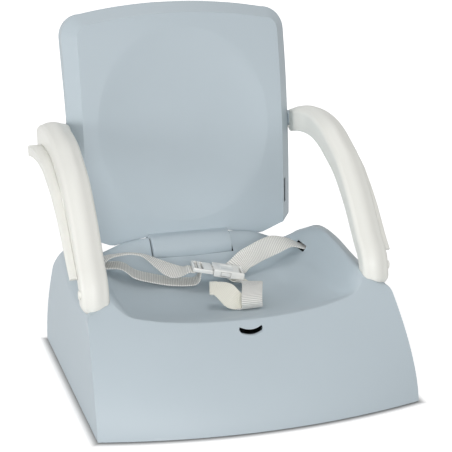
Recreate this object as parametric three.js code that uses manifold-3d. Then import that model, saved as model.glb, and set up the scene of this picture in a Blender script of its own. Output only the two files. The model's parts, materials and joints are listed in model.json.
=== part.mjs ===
import * as THREE from 'three';
import { mergeVertices } from 'three/addons/utils/BufferGeometryUtils.js';
import Module from 'manifold-3d';

const wasm = await Module();
wasm.setup();

// Clearances
const fitGap = 0.3;
const runGap = 0.7;
const cutOver = 2;

// Base: a hollow moulding that is open underneath
const baseWidth = 360;
const baseDepth = 303;
const frontBulge = 25;
const frontTop = 107;
const frontSetback = 67.5;
const humpHeight = 134;
const sideTaper = 10;
const rearTaper = 11;
const baseWall = 4.2;
const baseEdgeRound = 16;
const footProud = 1.2;

// Hinge between the backrest and the base
const barrelRadius = 18;
const barrelHalf = 50;
const barrelCrown = 1.2;
const barrelProud = 1;
const hingeInset = 6.5;
const pinRadius = 3.7;
const knuckleWidth = 11;
const barrelGap = 1.3;
const notchWide = 4;
const notchDeep = 3.6;

// Backrest: a front shell and a rear shell
const backInset = 39.7;
const backHalf = baseWidth / 2 - backInset;
const backHeight = 294.3;
const backLean = 50;
const bevelWide = 15;
const bevelDeep = 22;
const backWall = 2.6;
const backSlimDepth = 9;
const backTopDepth = 22;
const backCorner = 27;
const topSag = 10.5;
const topBevelDrop = 10.5;
const dishDepth = 2.2;
const dishSideMargin = 19.3;
const dishEndMargin = 30.15;
const dishHalf = backHalf - bevelWide - dishSideMargin;
const dishRise = backHeight / 2 - dishEndMargin;

// Arms
const armGap = 5.2;
const armInner = backHalf + armGap;
const armWidth = 31;
const armDepth = 27;
const armSetback = 90.5;
const armFootY = armSetback - baseDepth / 2;
const armRise = 137;
const armBehindHinge = 42;
const armCrown = 2.6;
const bossRadius = 9.5;

// Rails along the outside of the arms
const railWide = 8;
const railTopWide = 13;
const railDrop = 9;
const railThick = 4;
const railLip = 13;

const hingeY = baseDepth / 2 - hingeInset;

// Materials, one for each kind of surface
const blueGrey = { color: 0xbcc9d2, roughness: 0.55, metalness: 0 };
const warmWhite = { color: 0xe6e6e1, roughness: 0.5, metalness: 0 };
const webbingWhite = { color: 0xdcdcd8, roughness: 0.9, metalness: 0 };
const glossWhite = { color: 0xf0f0ee, roughness: 0.25, metalness: 0 };
const darkRubber = { color: 0x3c4044, roughness: 0.9, metalness: 0 };
const steel = { color: 0xb4b6b8, roughness: 0.35, metalness: 1 };

const group = new THREE.Group();

function addNode( name, geometry, look ) {

	const mesh = new THREE.Mesh( geometry, new THREE.MeshStandardMaterial( look ) );
	mesh.name = name;
	group.add( mesh );
	return mesh;

}

// Booleans work on closed solids that share their corners
function solid( geometry ) {

	geometry.deleteAttribute( 'normal' );
	geometry.deleteAttribute( 'uv' );
	const merged = mergeVertices( geometry, 1e-4 );
	return new wasm.Manifold( new wasm.Mesh( {
		numProp: 3,
		vertProperties: new Float32Array( merged.attributes.position.array ),
		triVerts: new Uint32Array( merged.index.array ),
	} ) );

}

function surface( body ) {

	const mesh = body.getMesh();
	const geometry = new THREE.BufferGeometry();
	geometry.setAttribute( 'position', new THREE.BufferAttribute( mesh.vertProperties, 3 ) );
	geometry.setIndex( new THREE.BufferAttribute( mesh.triVerts, 1 ) );
	geometry.computeVertexNormals();
	return geometry;

}

// A smooth curve through values at rising stations
function through( stations, values, at ) {

	const last = stations.length - 1;
	let i = 0;
	while ( i < last - 1 && at > stations[ i + 1 ] ) i ++;
	const slope = ( k ) => {

		const a = Math.max( k - 1, 0 );
		const b = Math.min( k + 1, last );
		return ( values[ b ] - values[ a ] ) / ( stations[ b ] - stations[ a ] );

	};

	const span = stations[ i + 1 ] - stations[ i ];
	const t = THREE.MathUtils.clamp( ( at - stations[ i ] ) / span, 0, 1 );
	const t2 = t * t;
	const t3 = t2 * t;
	return ( 2 * t3 - 3 * t2 + 1 ) * values[ i ] + ( t3 - 2 * t2 + t ) * span * slope( i )
		+ ( 3 * t2 - 2 * t3 ) * values[ i + 1 ] + ( t3 - t2 ) * span * slope( i + 1 );

}

// A ring seen along the axis that it faces most
function flattened( ring ) {

	const pairs = [ [ 'y', 'z' ], [ 'z', 'x' ], [ 'x', 'y' ] ];
	const views = pairs.map( ( [ a, b ] ) => ring.map( ( p ) => new THREE.Vector2( p[ a ], p[ b ] ) ) );
	const areas = views.map( ( view ) => Math.abs( THREE.ShapeUtils.area( view ) ) );
	return views[ areas.indexOf( Math.max( ...areas ) ) ];

}

// A closed skin over rings of the same number of points, with a flat fan or a centre at each end
function skin( rings, startCentre, endCentre ) {

	const count = rings[ 0 ].length;
	const positions = [];
	const index = [];
	for ( const ring of rings ) for ( const p of ring ) positions.push( p.x, p.y, p.z );
	for ( let r = 0; r < rings.length - 1; r ++ ) {

		for ( let i = 0; i < count; i ++ ) {

			const j = ( i + 1 ) % count;
			const a = r * count + i;
			const b = r * count + j;
			const c = a + count;
			const d = b + count;
			index.push( a, b, d, a, d, c );

		}

	}

	const fan = ( ring, centre, turn ) => {

		const hub = positions.length / 3;
		positions.push( centre.x, centre.y, centre.z );
		for ( let i = 0; i < count; i ++ ) {

			const a = ring * count + i;
			const b = ring * count + ( i + 1 ) % count;
			if ( turn ) index.push( hub, a, b );
			else index.push( hub, b, a );

		}

	};

	const cap = ( ring, turn ) => {

		const flat = flattened( rings[ ring ] );
		const sense = Math.sign( THREE.ShapeUtils.area( flat ) );
		const k = ring * count;
		for ( const [ a, b, c ] of THREE.ShapeUtils.triangulateShape( flat, [] ) ) {

			const same = Math.sign( THREE.ShapeUtils.area( [ flat[ a ], flat[ b ], flat[ c ] ] ) ) === sense;
			if ( turn === same ) index.push( k + a, k + b, k + c );
			else index.push( k + a, k + c, k + b );

		}

	};

	const last = rings.length - 1;
	if ( startCentre ) fan( 0, startCentre, false );
	else cap( 0, false );
	if ( endCentre ) fan( last, endCentre, true );
	else cap( last, true );
	const geometry = new THREE.BufferGeometry();
	geometry.setAttribute( 'position', new THREE.Float32BufferAttribute( positions, 3 ) );
	geometry.setIndex( index );
	return outward( geometry );

}

// Turns the faces outward where the rings ran the other way round
function outward( geometry ) {

	const p = geometry.attributes.position;
	const index = geometry.index.array;
	let volume = 0;
	const a = new THREE.Vector3();
	const b = new THREE.Vector3();
	const c = new THREE.Vector3();
	for ( let i = 0; i < index.length; i += 3 ) {

		a.fromBufferAttribute( p, index[ i ] );
		b.fromBufferAttribute( p, index[ i + 1 ] );
		c.fromBufferAttribute( p, index[ i + 2 ] );
		volume += a.dot( b.cross( c ) );

	}

	if ( volume < 0 ) for ( let i = 0; i < index.length; i += 3 ) {

		const keep = index[ i + 1 ];
		index[ i + 1 ] = index[ i + 2 ];
		index[ i + 2 ] = keep;

	}

	geometry.computeVertexNormals();
	return geometry;

}

function box( x0, x1, y0, y1, z0, z1 ) {

	const geometry = new THREE.BoxGeometry( x1 - x0, y1 - y0, z1 - z0 );
	geometry.translate( ( x0 + x1 ) / 2, ( y0 + y1 ) / 2, ( z0 + z1 ) / 2 );
	return solid( geometry );

}

// A round bar along X
function bar( radius, x0, x1, y, z, sides ) {

	const geometry = new THREE.CylinderGeometry( radius, radius, x1 - x0, sides );
	geometry.rotateZ( Math.PI / 2 );
	geometry.translate( ( x0 + x1 ) / 2, y, z );
	return solid( geometry );

}

// Height of the base's top, as shares of humpHeight, from the middle out to the side
const acrossShares = [ - 0.278, 0, 0.278, 0.5, 0.694, 0.79, 0.86, 1, 1.1 ];
const alongShares = [ - 0.36, - 0.28, - 0.198, - 0.066, 0.066, 0.198, 0.33, 0.419, 0.4785, 0.5 ];
const middleShares = [ 0.738, 0.709, 0.65, 0.597, 0.582, 0.597, 0.657, 0.746, 0.903, 0.866 ];
const innerShares = [ 0.745, 0.718, 0.66, 0.604, 0.593, 0.612, 0.672, 0.754, 0.903, 0.866 ];
const seatShares = [ 0.772, 0.745, 0.684, 0.634, 0.627, 0.649, 0.701, 0.761, 0.873, 0.836 ];
const wallShares = [ 0.8, 0.795, 0.745, 0.724, 0.739, 0.761, 0.776, 0.776, 0.791, 0.761 ];
const risingShares = [ 0.795, 0.83, 0.88, 0.875, 0.895, 0.915, 0.91, 0.866, 0.813, 0.784 ];
const crestShares = [ 0.79, 0.835, 0.93, 0.965, 1.005, 1.03, 0.975, 0.9, 0.847, 0.813 ];
const outerShares = [ 0.785, 0.835, 0.835, 0.835, 0.87, 0.945, 0.99, 0.933, 0.851, 0.813 ];
const topRows = [ innerShares, middleShares, innerShares, seatShares, wallShares, risingShares,
	crestShares, outerShares, outerShares ];

function topHeight( x, y ) {

	const heights = topRows.map( ( row ) => through( alongShares, row, y / baseDepth ) );
	return humpHeight * through( acrossShares, heights, Math.abs( x ) / ( baseWidth / 2 ) );

}

// The front face leans back in a curve, and bulges forward in the middle
const frontCurve = 1.6;

function frontAt( x, z ) {

	const side = Math.abs( x ) / ( baseWidth / 2 );
	const foot = - baseDepth / 2 - frontBulge * ( 1 - side * side );
	const top = - baseDepth / 2 + frontSetback;
	return top + ( foot - top ) * ( 1 - Math.pow( Math.max( z, 0 ) / frontTop, frontCurve ) );

}

// The roof of the hollow is drawn in more than its walls
const roofShare = 1.1;

// The outer edge is nearly sharp in front and rounder towards the rear
const edgeStations = [ - 0.28, - 0.1, 0.25, 0.5 ];
const edgeRoundShares = [ 0.32, 0.4, 1, 1 ];

function topDrop( x, y, inset ) {

	const round = baseEdgeRound * through( edgeStations, edgeRoundShares, y / baseDepth );
	const edge = Math.max( 0, Math.abs( x ) - ( baseWidth / 2 - inset - round ) );
	return round - Math.sqrt( Math.max( 0, round ** 2 - edge ** 2 ) ) + inset * roofShare;

}

function rimHeight( x, inset ) {

	let low = 0;
	let high = frontTop * 1.3;
	for ( let i = 0; i < 40; i ++ ) {

		const z = ( low + high ) / 2;
		const y = frontAt( x, z );
		if ( topHeight( x, y ) - topDrop( x, y, inset ) > z ) low = z;
		else high = z;

	}

	return low;

}

const hingeZ = topHeight( 0, hingeY ) - barrelRadius + barrelProud;

// The base's block, or its hollow when it is drawn in by its wall
function baseBlock( inset, floor, columns, frontSteps, topSteps ) {

	const rings = [];
	const rear = baseDepth / 2 - inset;
	for ( let k = 0; k <= columns; k ++ ) {

		const share = Math.sin( ( k / columns * 2 - 1 ) * Math.PI / 2 );
		const x = share * ( baseWidth / 2 - inset );
		const rim = rimHeight( x, inset );
		const ring = [];
		const put = ( y, z ) => {

			const lean = sideTaper + rearTaper * Math.max( 0, y / ( baseDepth / 2 ) ) ** 2;
			const taper = 1 - lean / ( baseWidth / 2 ) * ( z / humpHeight ) ** 2;
			ring.push( new THREE.Vector3( x * taper, y, z ) );

		};

		put( frontAt( x, 0 ) + inset, floor );
		for ( let i = 1; i <= frontSteps; i ++ ) {

			const z = rim * i / frontSteps;
			put( frontAt( x, z ) + inset, z );

		}

		const rimY = frontAt( x, rim ) + inset;
		for ( let i = 1; i <= topSteps; i ++ ) {

			const y = rimY + ( rear - rimY ) * i / topSteps;
			put( y, topHeight( x, y ) - topDrop( x, y, inset ) );

		}

		put( rear, floor );
		rings.push( ring );

	}

	return solid( skin( rings ) );

}

function mirrored( geometry ) {

	const copy = geometry.clone();
	copy.scale( - 1, 1, 1 );
	return outward( copy );

}

function addPair( name, body, look ) {

	const right = surface( body );
	addNode( `${ name }_right`, right, look );
	addNode( `${ name }_left`, mirrored( right ), look );

}

// Backrest shape: how far it lies behind the hinge at each height
const riseShares = [ 0, 0.027, 0.156, 0.377, 0.564, 0.724, 0.873, 0.958, 1.02 ];
const leanShares = [ 0.14, 0.14, 0.15, 0.24, 0.39, 0.56, 0.78, 0.92, 1.02 ];

function leanAt( z ) {

	return hingeY + backLean * through( riseShares, leanShares, ( z - hingeZ ) / backHeight );

}

// The backrest's bottom edge follows the base's crest, which lies round the hinge
const bottomAcrossShares = [ 0, 0.36, 0.68, 0.78, 0.87, 1.001 ];
const bottomRise = 21;
const bottomShares = [ 0.86, 0.8, 0.43, 0.7, 0.93, 1.15 ];

function bottomAt( x ) {

	const share = Math.abs( x ) / backHalf;
	let i = 0;
	while ( i < bottomShares.length - 2 && share > bottomAcrossShares[ i + 1 ] ) i ++;
	const t = ( share - bottomAcrossShares[ i ] ) / ( bottomAcrossShares[ i + 1 ] - bottomAcrossShares[ i ] );
	return hingeZ + bottomRise * THREE.MathUtils.lerp( bottomShares[ i ], bottomShares[ i + 1 ], t );

}

// The outline seen from the front, drawn in all round by an inset; its points stay in step
const bottomFixedShares = [ 0, 0.18, 0.36, 0.46, 0.57, 0.68 ];
const bottomFreeShares = [ 0.3, 0.58, 1 ];

function backOutline( half, corner, drop, lift ) {

	const topAt = ( x ) => hingeZ + backHeight - drop - topSag * ( x / ( backHalf - backCorner ) ) ** 2;
	const low = backHalf * bottomAcrossShares[ 2 ];
	const across = bottomFixedShares.map( ( share ) => backHalf * share )
		.concat( bottomFreeShares.map( ( share ) => THREE.MathUtils.lerp( low, half, share ) ) );
	const points = across.map( ( x ) => [ x, bottomAt( x ) + lift ] );
	const start = bottomAt( half ) + lift;
	const shoulder = topAt( half - corner ) - corner;
	for ( let i = 1; i < 10; i ++ ) points.push( [ half, start + ( shoulder - start ) * i / 10 ] );
	for ( let i = 0; i <= 5; i ++ ) {

		const turn = Math.PI / 2 * i / 5;
		points.push( [ half - corner + corner * Math.cos( turn ), shoulder + corner * Math.sin( turn ) ] );

	}

	for ( let i = 1; i <= 6; i ++ ) {

		const x = ( half - corner ) * ( 1 - i / 6 );
		points.push( [ x, topAt( x ) ] );

	}

	const left = points.slice( 1, - 1 ).reverse().map( ( [ x, z ] ) => [ - x, z ] );
	return points.concat( left );

}

const dishMiddle = hingeZ + backHeight * 0.51;

function dishLoop( share ) {

	return backOutline( backHalf, backCorner, 0, 0 ).map( ( [ x, z ] ) => {

		const turn = Math.atan2( ( z - dishMiddle ) / dishRise, x / dishHalf );
		return [ dishHalf * share * Math.cos( turn ), dishMiddle + dishRise * share * Math.sin( turn ) ];

	} );

}

function place( loop, depthAt ) {

	return loop.map( ( [ x, z ] ) => new THREE.Vector3( x, leanAt( z ) + depthAt( x, z ), z ) );

}

const panelHalf = backHalf - bevelWide;
const panelCorner = backCorner / 2;

function dishDepthAt( share ) {

	return dishDepth * ( 1 - share * share );

}

function backFront() {

	const hub = ( depth ) => new THREE.Vector3( 0, leanAt( dishMiddle ) + depth, dishMiddle );
	const rings = [];
	for ( const share of [ 0.35, 0.7, 1 ] ) rings.push( place( dishLoop( share ), () =>
		dishDepthAt( share ) ) );
	rings.push( place( backOutline( panelHalf, panelCorner, topBevelDrop, 0 ), () => 0 ) );
	rings.push( place( backOutline( backHalf, backCorner, 0, 0 ), () => bevelDeep ) );
	const w = backWall;
	rings.push( place( backOutline( backHalf - w, backCorner - w, w, w ), () => bevelDeep ) );
	rings.push( place( backOutline( panelHalf - w, panelCorner, topBevelDrop + w, w ), () => w ) );
	for ( const share of [ 0.98, 0.7, 0.35 ] ) rings.push( place( dishLoop( share ), () =>
		dishDepthAt( share ) + w ) );
	return solid( skin( rings, hub( dishDepth ), hub( dishDepth + w ) ) );

}

const rearDrop = 8;
const flareStart = hingeZ + backHeight * 0.5;
const flareEnd = hingeZ + backHeight * 0.87;

function rearDepthAt( z ) {

	return backSlimDepth + ( backTopDepth - backSlimDepth ) * THREE.MathUtils.smoothstep( z, flareStart,
		flareEnd );

}

function backRear() {

	const w = backWall;
	const seam = bevelDeep + fitGap;
	const rear = ( x, z ) => bevelDeep + rearDepthAt( z );
	const floor = ( x, z ) => rear( x, z ) - w;
	const hub = ( depth ) => new THREE.Vector3( 0, leanAt( dishMiddle ) + depth( 0, dishMiddle ), dishMiddle );
	const full = backOutline( backHalf, backCorner, 0, 0 );
	const inner = backOutline( backHalf - w, backCorner - w, w, w );
	const lowTop = backOutline( backHalf - w, backCorner, rearDrop, w );
	const rings = [];
	for ( const share of [ 0.35, 0.7, 1 ] ) rings.push( place( dishLoop( share ), rear ) );
	rings.push( place( lowTop, rear ) );
	rings.push( place( backOutline( backHalf, backCorner, rearDrop / 3, 0 ), ( x, z ) => rear( x, z ) - w ) );
	rings.push( place( full, () => seam ) );
	rings.push( place( inner, () => seam ) );
	rings.push( place( backOutline( backHalf - 2 * w, backCorner, rearDrop + w, 2 * w ), floor ) );
	for ( const share of [ 0.98, 0.7, 0.35 ] ) rings.push( place( dishLoop( share ), floor ) );
	return solid( skin( rings, hub( rear ), hub( floor ) ) );

}

// Arms: a beam from its foot on the base to the boss on the backrest's side
const armMiddle = armInner + armWidth / 2;
const armFootSink = 12.785;
const armFootZ = topHeight( armMiddle, armFootY ) - armFootSink;
const armEndY = hingeY + armBehindHinge;
const armEndZ = armFootZ + armRise;
const armAlongShares = [ 0, 0.003, 0.03, 0.085, 0.157, 0.206, 0.286, 0.379, 0.488, 0.585, 0.71, 0.875, 1 ];
const armUpShares = [ 0.02, 0.12, 0.24, 0.34, 0.49, 0.59, 0.726, 0.854, 0.945, 1.015, 1.055, 1.05, 1 ];
const armStations = armAlongShares.map( ( share, i ) => new THREE.Vector3( armMiddle,
	armFootY + ( armEndY - armFootY ) * share, armFootZ + ( armEndZ - armFootZ ) * armUpShares[ i ] ) );
const armPath = new THREE.CatmullRomCurve3( armStations, false, 'centripetal' );
const depthStationShares = [ 0, 0.25, 0.5, 0.7, 1 ];
const depthShares = [ 0.7, 0.76, 0.94, 1, 1.07 ];
const frontRound = 6.5;
const rearRound = 3;

function armFrame( u ) {

	const at = armPath.getPointAt( u );
	const t = armPath.getTangentAt( u );
	return { at, t, n: new THREE.Vector3( 0, - t.z, t.y ) };

}

function corner( points, x, n, radius, from, steps ) {

	for ( let i = 0; i <= steps; i ++ ) {

		const turn = from + Math.PI / 2 * i / steps;
		points.push( [ x + radius * Math.cos( turn ), n + radius * Math.sin( turn ) ] );

	}

}

function armSection( width, depth, grow ) {

	const a = width / 2 + grow;
	const d = depth / 2 + grow;
	const front = Math.min( frontRound, a * 0.8, d * 0.8 );
	const rear = Math.min( rearRound, a * 0.4, d * 0.4 );
	const points = [];
	corner( points, a - front, d - front, front, 0, 3 );
	points.push( [ 0, d + armCrown ] );
	corner( points, front - a, d - front, front, Math.PI / 2, 3 );
	corner( points, rear - a, rear - d, rear, Math.PI, 2 );
	corner( points, a - rear, rear - d, rear, Math.PI * 1.5, 2 );
	return points;

}

function armRing( frame, shift, width, depth, grow ) {

	const middle = frame.at.clone().addScaledVector( frame.t, shift );
	return armSection( width, depth, grow ).map( ( [ a, n ] ) => middle.clone()
		.add( new THREE.Vector3( a, 0, 0 ) ).addScaledVector( frame.n, n ) );

}

const armNose = 13;

function centreOf( ring ) {

	return ring.reduce( ( sum, p ) => sum.add( p ), new THREE.Vector3() ).divideScalar( ring.length );

}

function armBeam( grow ) {

	const rings = [];
	const steps = 24;
	const base = armFrame( 0 );
	for ( const share of [ 0.18, 0.5, 0.8, 0.95 ] ) {

		const narrow = Math.sqrt( 1 - ( 1 - share ) ** 2 );
		rings.push( armRing( base, - armNose * ( 1 - share ) + armNose * 0.6, armWidth * narrow,
			armDepth * depthShares[ 0 ], grow ) );

	}

	for ( let i = 2; i <= steps; i ++ ) {

		const u = i / steps;
		const depth = armDepth * through( depthStationShares, depthShares, u );
		rings.push( armRing( armFrame( u ), 0, armWidth, depth, grow ) );

	}

	const end = armFrame( 1 );
	const reach = armDepth * depthShares[ 4 ] / 2;
	for ( const share of [ 0.4, 0.7, 0.92 ] ) {

		const thin = Math.sqrt( 1 - share * share );
		rings.push( armRing( end, reach * share, armWidth * ( 0.85 + 0.15 * thin ), 2 * reach * thin, grow ) );

	}

	return solid( skin( rings, centreOf( rings[ 0 ] ), centreOf( rings[ rings.length - 1 ] ) ) );

}

const railTopShare = 0.93;
const railEndShare = 0.12;
const railFlare = 2.5;

function railBody() {

	const rings = [];
	const steps = 18;
	const inner = armWidth / 2 + fitGap;
	for ( let i = 0; i <= steps; i ++ ) {

		const up = i / steps;
		const frame = armFrame( railEndShare + ( railTopShare - railEndShare ) * up );
		const outer = inner + THREE.MathUtils.lerp( railWide, railTopWide, up ) + railFlare * up ** 6;
		const drop = railDrop * Math.min( 1, 0.2 + 2 * up );
		const lip = railThick + ( railLip - railThick ) * up;
		const skinWide = railThick / 2;
		const points = [ [ inner, - railThick ], [ inner, 0 ], [ outer - skinWide, 0 ],
			[ outer, - skinWide / 2 ],
			[ outer, - lip ], [ outer - skinWide, - lip ], [ outer - skinWide, - railThick ] ];
		rings.push( points.map( ( [ a, n ] ) => frame.at.clone()
			.add( new THREE.Vector3( a, 0, 0 ) ).addScaledVector( frame.n, n - drop ) ) );

	}

	return solid( skin( rings ) );

}

// Base pieces
const barrelClear = barrelRadius + barrelCrown + runGap;
const pinBore = pinRadius + fitGap;
const pinHalf = barrelHalf + runGap + knuckleWidth;
const housingDrop = 26;
const housingFront = 25;
const socketHalfWide = 13;
const socketHalfDeep = 11;
const tenonHalfWide = 7;
const tenonHalfDeep = 5;
const tenonLong = 9;
const socketFloor = 3;

const baseOuter = baseBlock( 0, footProud, 34, 8, 24 );
const baseHollow = baseBlock( baseWall, - cutOver, 22, 5, 14 );

function tenon( grow, up ) {

	return box( armMiddle - tenonHalfWide - grow, armMiddle + tenonHalfWide + grow,
		armFootY - tenonHalfDeep - grow, armFootY + tenonHalfDeep + grow,
		armFootZ - tenonLong - grow, armFootZ + up );

}

// The smile-shaped slot in the middle of the front face
const slotHalf = 13.5;
const slotTall = 4.8;
const slotBow = 3;
const slotBelowTop = 18.5;
const slotHeight = frontTop - slotBelowTop;
const slotReach = 26;

function frontSlot() {

	const shape = new THREE.Shape();
	const steps = 10;
	const bow = ( x ) => slotHeight + slotBow * ( x / slotHalf ) ** 2 - slotBow / 2;
	for ( let i = 0; i <= steps; i ++ ) {

		const x = slotHalf * ( i / steps * 2 - 1 );
		if ( i === 0 ) shape.moveTo( x, bow( x ) - slotTall / 2 );
		else shape.lineTo( x, bow( x ) - slotTall / 2 );

	}

	for ( let i = steps; i >= 0; i -- ) {

		const x = slotHalf * ( i / steps * 2 - 1 );
		shape.lineTo( x, bow( x ) + slotTall / 2 );

	}

	const geometry = new THREE.ExtrudeGeometry( shape, { depth: slotReach, bevelEnabled: false, steps: 1 } );
	geometry.rotateX( Math.PI / 2 );
	geometry.translate( 0, frontAt( 0, slotHeight ) + slotReach / 3, 0 );
	return solid( geometry );

}

function withMirror( body ) {

	return body.add( solid( mirrored( surface( body ) ) ) );

}

// Corner gussets under the base hold the rubber pads
const padRadius = 9;
const padTall = 4.5;
const padSideInset = 27;
const padFrontInset = 14.5;
const padRearInset = 22.5;
const padAcross = baseWidth / 2 - padSideInset;
const padFront = baseDepth / 2 - padFrontInset;
const padRear = baseDepth / 2 - padRearInset;
const gussetHalf = 13;
const gussetTall = 14;
const padSpots = [ [ padAcross, - padFront ], [ padAcross, padRear ],
	[ - padAcross, - padFront ], [ - padAcross, padRear ] ];

function disc( radius, x, y, z0, z1, sides ) {

	const geometry = new THREE.CylinderGeometry( radius, radius, z1 - z0, sides );
	geometry.rotateX( Math.PI / 2 );
	geometry.translate( x, y, ( z0 + z1 ) / 2 );
	return solid( geometry );

}

// Belt: slots in the seat's side walls, webbing, and an anchor behind each slot
const strapWide = 25;
const strapThick = 1.6;
const beltBeforeHinge = 57;
const beltY = hingeY - beltBeforeHinge;
const beltSlotShare = 2 / 3;
const beltSlotEndShare = 0.811;
const beltSlotX = baseWidth / 2 * beltSlotShare;
const beltSlotEnd = baseWidth / 2 * beltSlotEndShare;
const beltRise = 10.5;
const beltSlotTall = 7;
const beltZ = topHeight( beltSlotX, beltY ) + beltRise;
const anchorShare = 0.761;
const anchorX = baseWidth / 2 * anchorShare;
const anchorLong = 6;
const anchorTall = 8;
const strandDrop = 1.3;

function beltSlot() {

	const half = strapWide / 2 + runGap;
	const tall = beltSlotTall / 2;
	return box( beltSlotX, beltSlotEnd, beltY - half, beltY + half, beltZ - tall, beltZ + tall );

}

function beltAnchor() {

	const half = strapWide / 2 + anchorLong / 2;
	const tall = anchorTall / 2;
	return box( anchorX, anchorX + anchorLong, beltY - half, beltY + half, beltZ - tall, beltZ + tall );

}

function baseShell() {

	let body = baseOuter.subtract( baseHollow );
	const housing = box( - pinHalf, pinHalf, hingeY - housingFront, baseDepth / 2,
		hingeZ - housingDrop, hingeZ + barrelRadius + runGap );
	body = body.add( baseOuter.intersect( housing ) );
	const socket = box( armMiddle - socketHalfWide, armMiddle + socketHalfWide, armFootY - socketHalfDeep,
		armFootY + socketHalfDeep, armFootZ - tenonLong - socketFloor, armFootZ + armRise );
	body = body.add( withMirror( baseOuter.intersect( socket ) ) );
	for ( const y of [ - padFront, padRear ] ) {

		const reach = y + gussetHalf * 3 * Math.sign( y );
		const gusset = box( padAcross - gussetHalf, baseWidth / 2,
			Math.min( y - gussetHalf, reach ), Math.max( y + gussetHalf, reach ), 0, gussetTall );
		body = body.add( withMirror( baseOuter.intersect( gusset ) ) );
		body = body.subtract( withMirror( disc( padRadius + fitGap, padAcross, y, - cutOver,
			padTall + fitGap, 20 ) ) );

	}

	const barrelSpace = barrelHalf + barrelGap;
	body = body.subtract( bar( barrelClear, - barrelSpace, barrelSpace, hingeY, hingeZ, 40 ) );
	const notch = box( barrelHalf, barrelSpace + notchWide, hingeY - notchDeep, baseDepth / 2 + cutOver,
		hingeZ + barrelRadius - notchDeep, hingeZ + barrelRadius * 2 );
	body = body.subtract( withMirror( notch ) );
	body = body.subtract( bar( pinBore, - pinHalf - cutOver, pinHalf + cutOver, hingeY, hingeZ, 16 ) );
	body = body.subtract( withMirror( tenon( fitGap, armNose * 2 ) ) );
	body = body.subtract( withMirror( armBeam( fitGap ) ) );
	body = body.subtract( withMirror( beltSlot() ) );
	return body.subtract( frontSlot() );

}

// The barrel swells a little towards its middle
function barrel() {

	const steps = 8;
	const profile = [ new THREE.Vector2( 0, - barrelHalf ) ];
	for ( let i = 0; i <= steps; i ++ ) {

		const t = i / steps * 2 - 1;
		profile.push( new THREE.Vector2( barrelRadius + barrelCrown * ( 1 - t * t ), barrelHalf * t ) );

	}

	profile.push( new THREE.Vector2( 0, barrelHalf ) );
	const geometry = new THREE.LatheGeometry( profile, 32 );
	geometry.rotateZ( - Math.PI / 2 );
	geometry.translate( 0, hingeY, hingeZ );
	return solid( geometry );

}

// A flat outline in (y, z), made as thick as x0 to x1
function slab( points, x0, x1 ) {

	const shape = new THREE.Shape( points.map( ( [ y, z ] ) => new THREE.Vector2( y, z ) ) );
	const geometry = new THREE.ExtrudeGeometry( shape, { depth: x1 - x0, bevelEnabled: false, steps: 1 } );
	geometry.translate( 0, 0, x0 );
	geometry.rotateY( Math.PI / 2 );
	geometry.rotateX( Math.PI / 2 );
	return solid( geometry );

}

const neckRise = 19.5;

function neck() {

	const panelAt = ( z ) => leanAt( z ) + backWall / 2;
	const rearAt = ( z ) => leanAt( z ) + bevelDeep - backWall;
	const high = hingeZ + neckRise;
	const low = hingeZ + barrelRadius * 0.4;
	const points = [ [ hingeY, hingeZ + barrelRadius * 0.95 ],
		[ panelAt( high ), high ], [ rearAt( high ), high ],
		[ rearAt( high ), hingeZ + bottomRise * 0.6 ], [ hingeY + barrelRadius * 0.9, low ],
			[ hingeY, hingeZ ] ];
	return slab( points, - barrelHalf, barrelHalf );

}

// Screws that hold the two backrest shells together
const screwInset = 44.3;
const screwAcross = backHalf - screwInset;
const screwRises = [ 0.22, 0.5, 0.79 ].map( ( share ) => hingeZ + backHeight * share );
const screwSpots = screwRises.flatMap( ( z ) => [ [ screwAcross, z ], [ - screwAcross, z ] ] );
const screwRadius = 1.6;
const screwHeadRadius = 3.6;
const screwHeadTall = 2.2;
const screwSink = 3;
const postRadius = 4.6;
const columnRadius = 6;
const postTop = 14;
const postGap = 0.6;
const screwReach = 8;

// A round post along Y at a screw, between two depths behind the panel's face
function post( radius, x, z, near, far, sides ) {

	const geometry = new THREE.CylinderGeometry( radius, radius, far - near, sides );
	geometry.translate( x, leanAt( z ) + ( near + far ) / 2, z );
	return solid( geometry );

}

// Chair-strap slots in the bevel at both sides of the backrest
const sideSlotInset = 11.3;
const sideSlotX = backHalf - sideSlotInset;
const sideSlotRise = 44;
const sideSlotLow = hingeZ + sideSlotRise;
const sideSlotTall = 31;
const sideSlotWide = 3.4;

function sideSlot() {

	const y = leanAt( sideSlotLow );
	return box( sideSlotX - sideSlotWide / 2, sideSlotX + sideSlotWide / 2, y - bevelDeep / 2,
		y + bevelDeep * 2,
		sideSlotLow, sideSlotLow + sideSlotTall );

}

function frontShell() {

	let body = backFront().add( barrel() ).add( neck() );
	for ( const [ x, z ] of screwSpots ) {

		body = body.add( post( postRadius, x, z, backWall / 2, postTop, 14 ) );
		body = body.subtract( post( screwRadius + fitGap, x, z, postTop - screwReach, postTop + cutOver, 10 ) );

	}

	body = body.subtract( withMirror( sideSlot() ) );
	return body.subtract( bar( pinBore, - barrelHalf - cutOver, barrelHalf + cutOver, hingeY, hingeZ, 16 ) );

}

// Pivots on the backrest's sides, which the arms butt against
const bossBehindArm = 3;
const bossOverArm = 2.5;
const bossY = armEndY + bossBehindArm;
const bossZ = armEndZ + bossOverArm;
const earHalf = 16;
const earWide = 8;
const earDeep = 37;
const spigotRadius = 4;
const spigotLong = 12;

function ear() {

	const low = bossZ - earHalf;
	const high = bossZ + earHalf;
	const points = [ [ leanAt( low ) + bevelDeep + backWall, low ],
		[ leanAt( bossZ ) + earDeep, bossZ - earHalf / 3 ],
		[ leanAt( bossZ ) + earDeep, bossZ + earHalf / 3 ], [ leanAt( high ) + bevelDeep + backWall, high ] ];
	return slab( points, backHalf - earWide, backHalf );

}

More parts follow.
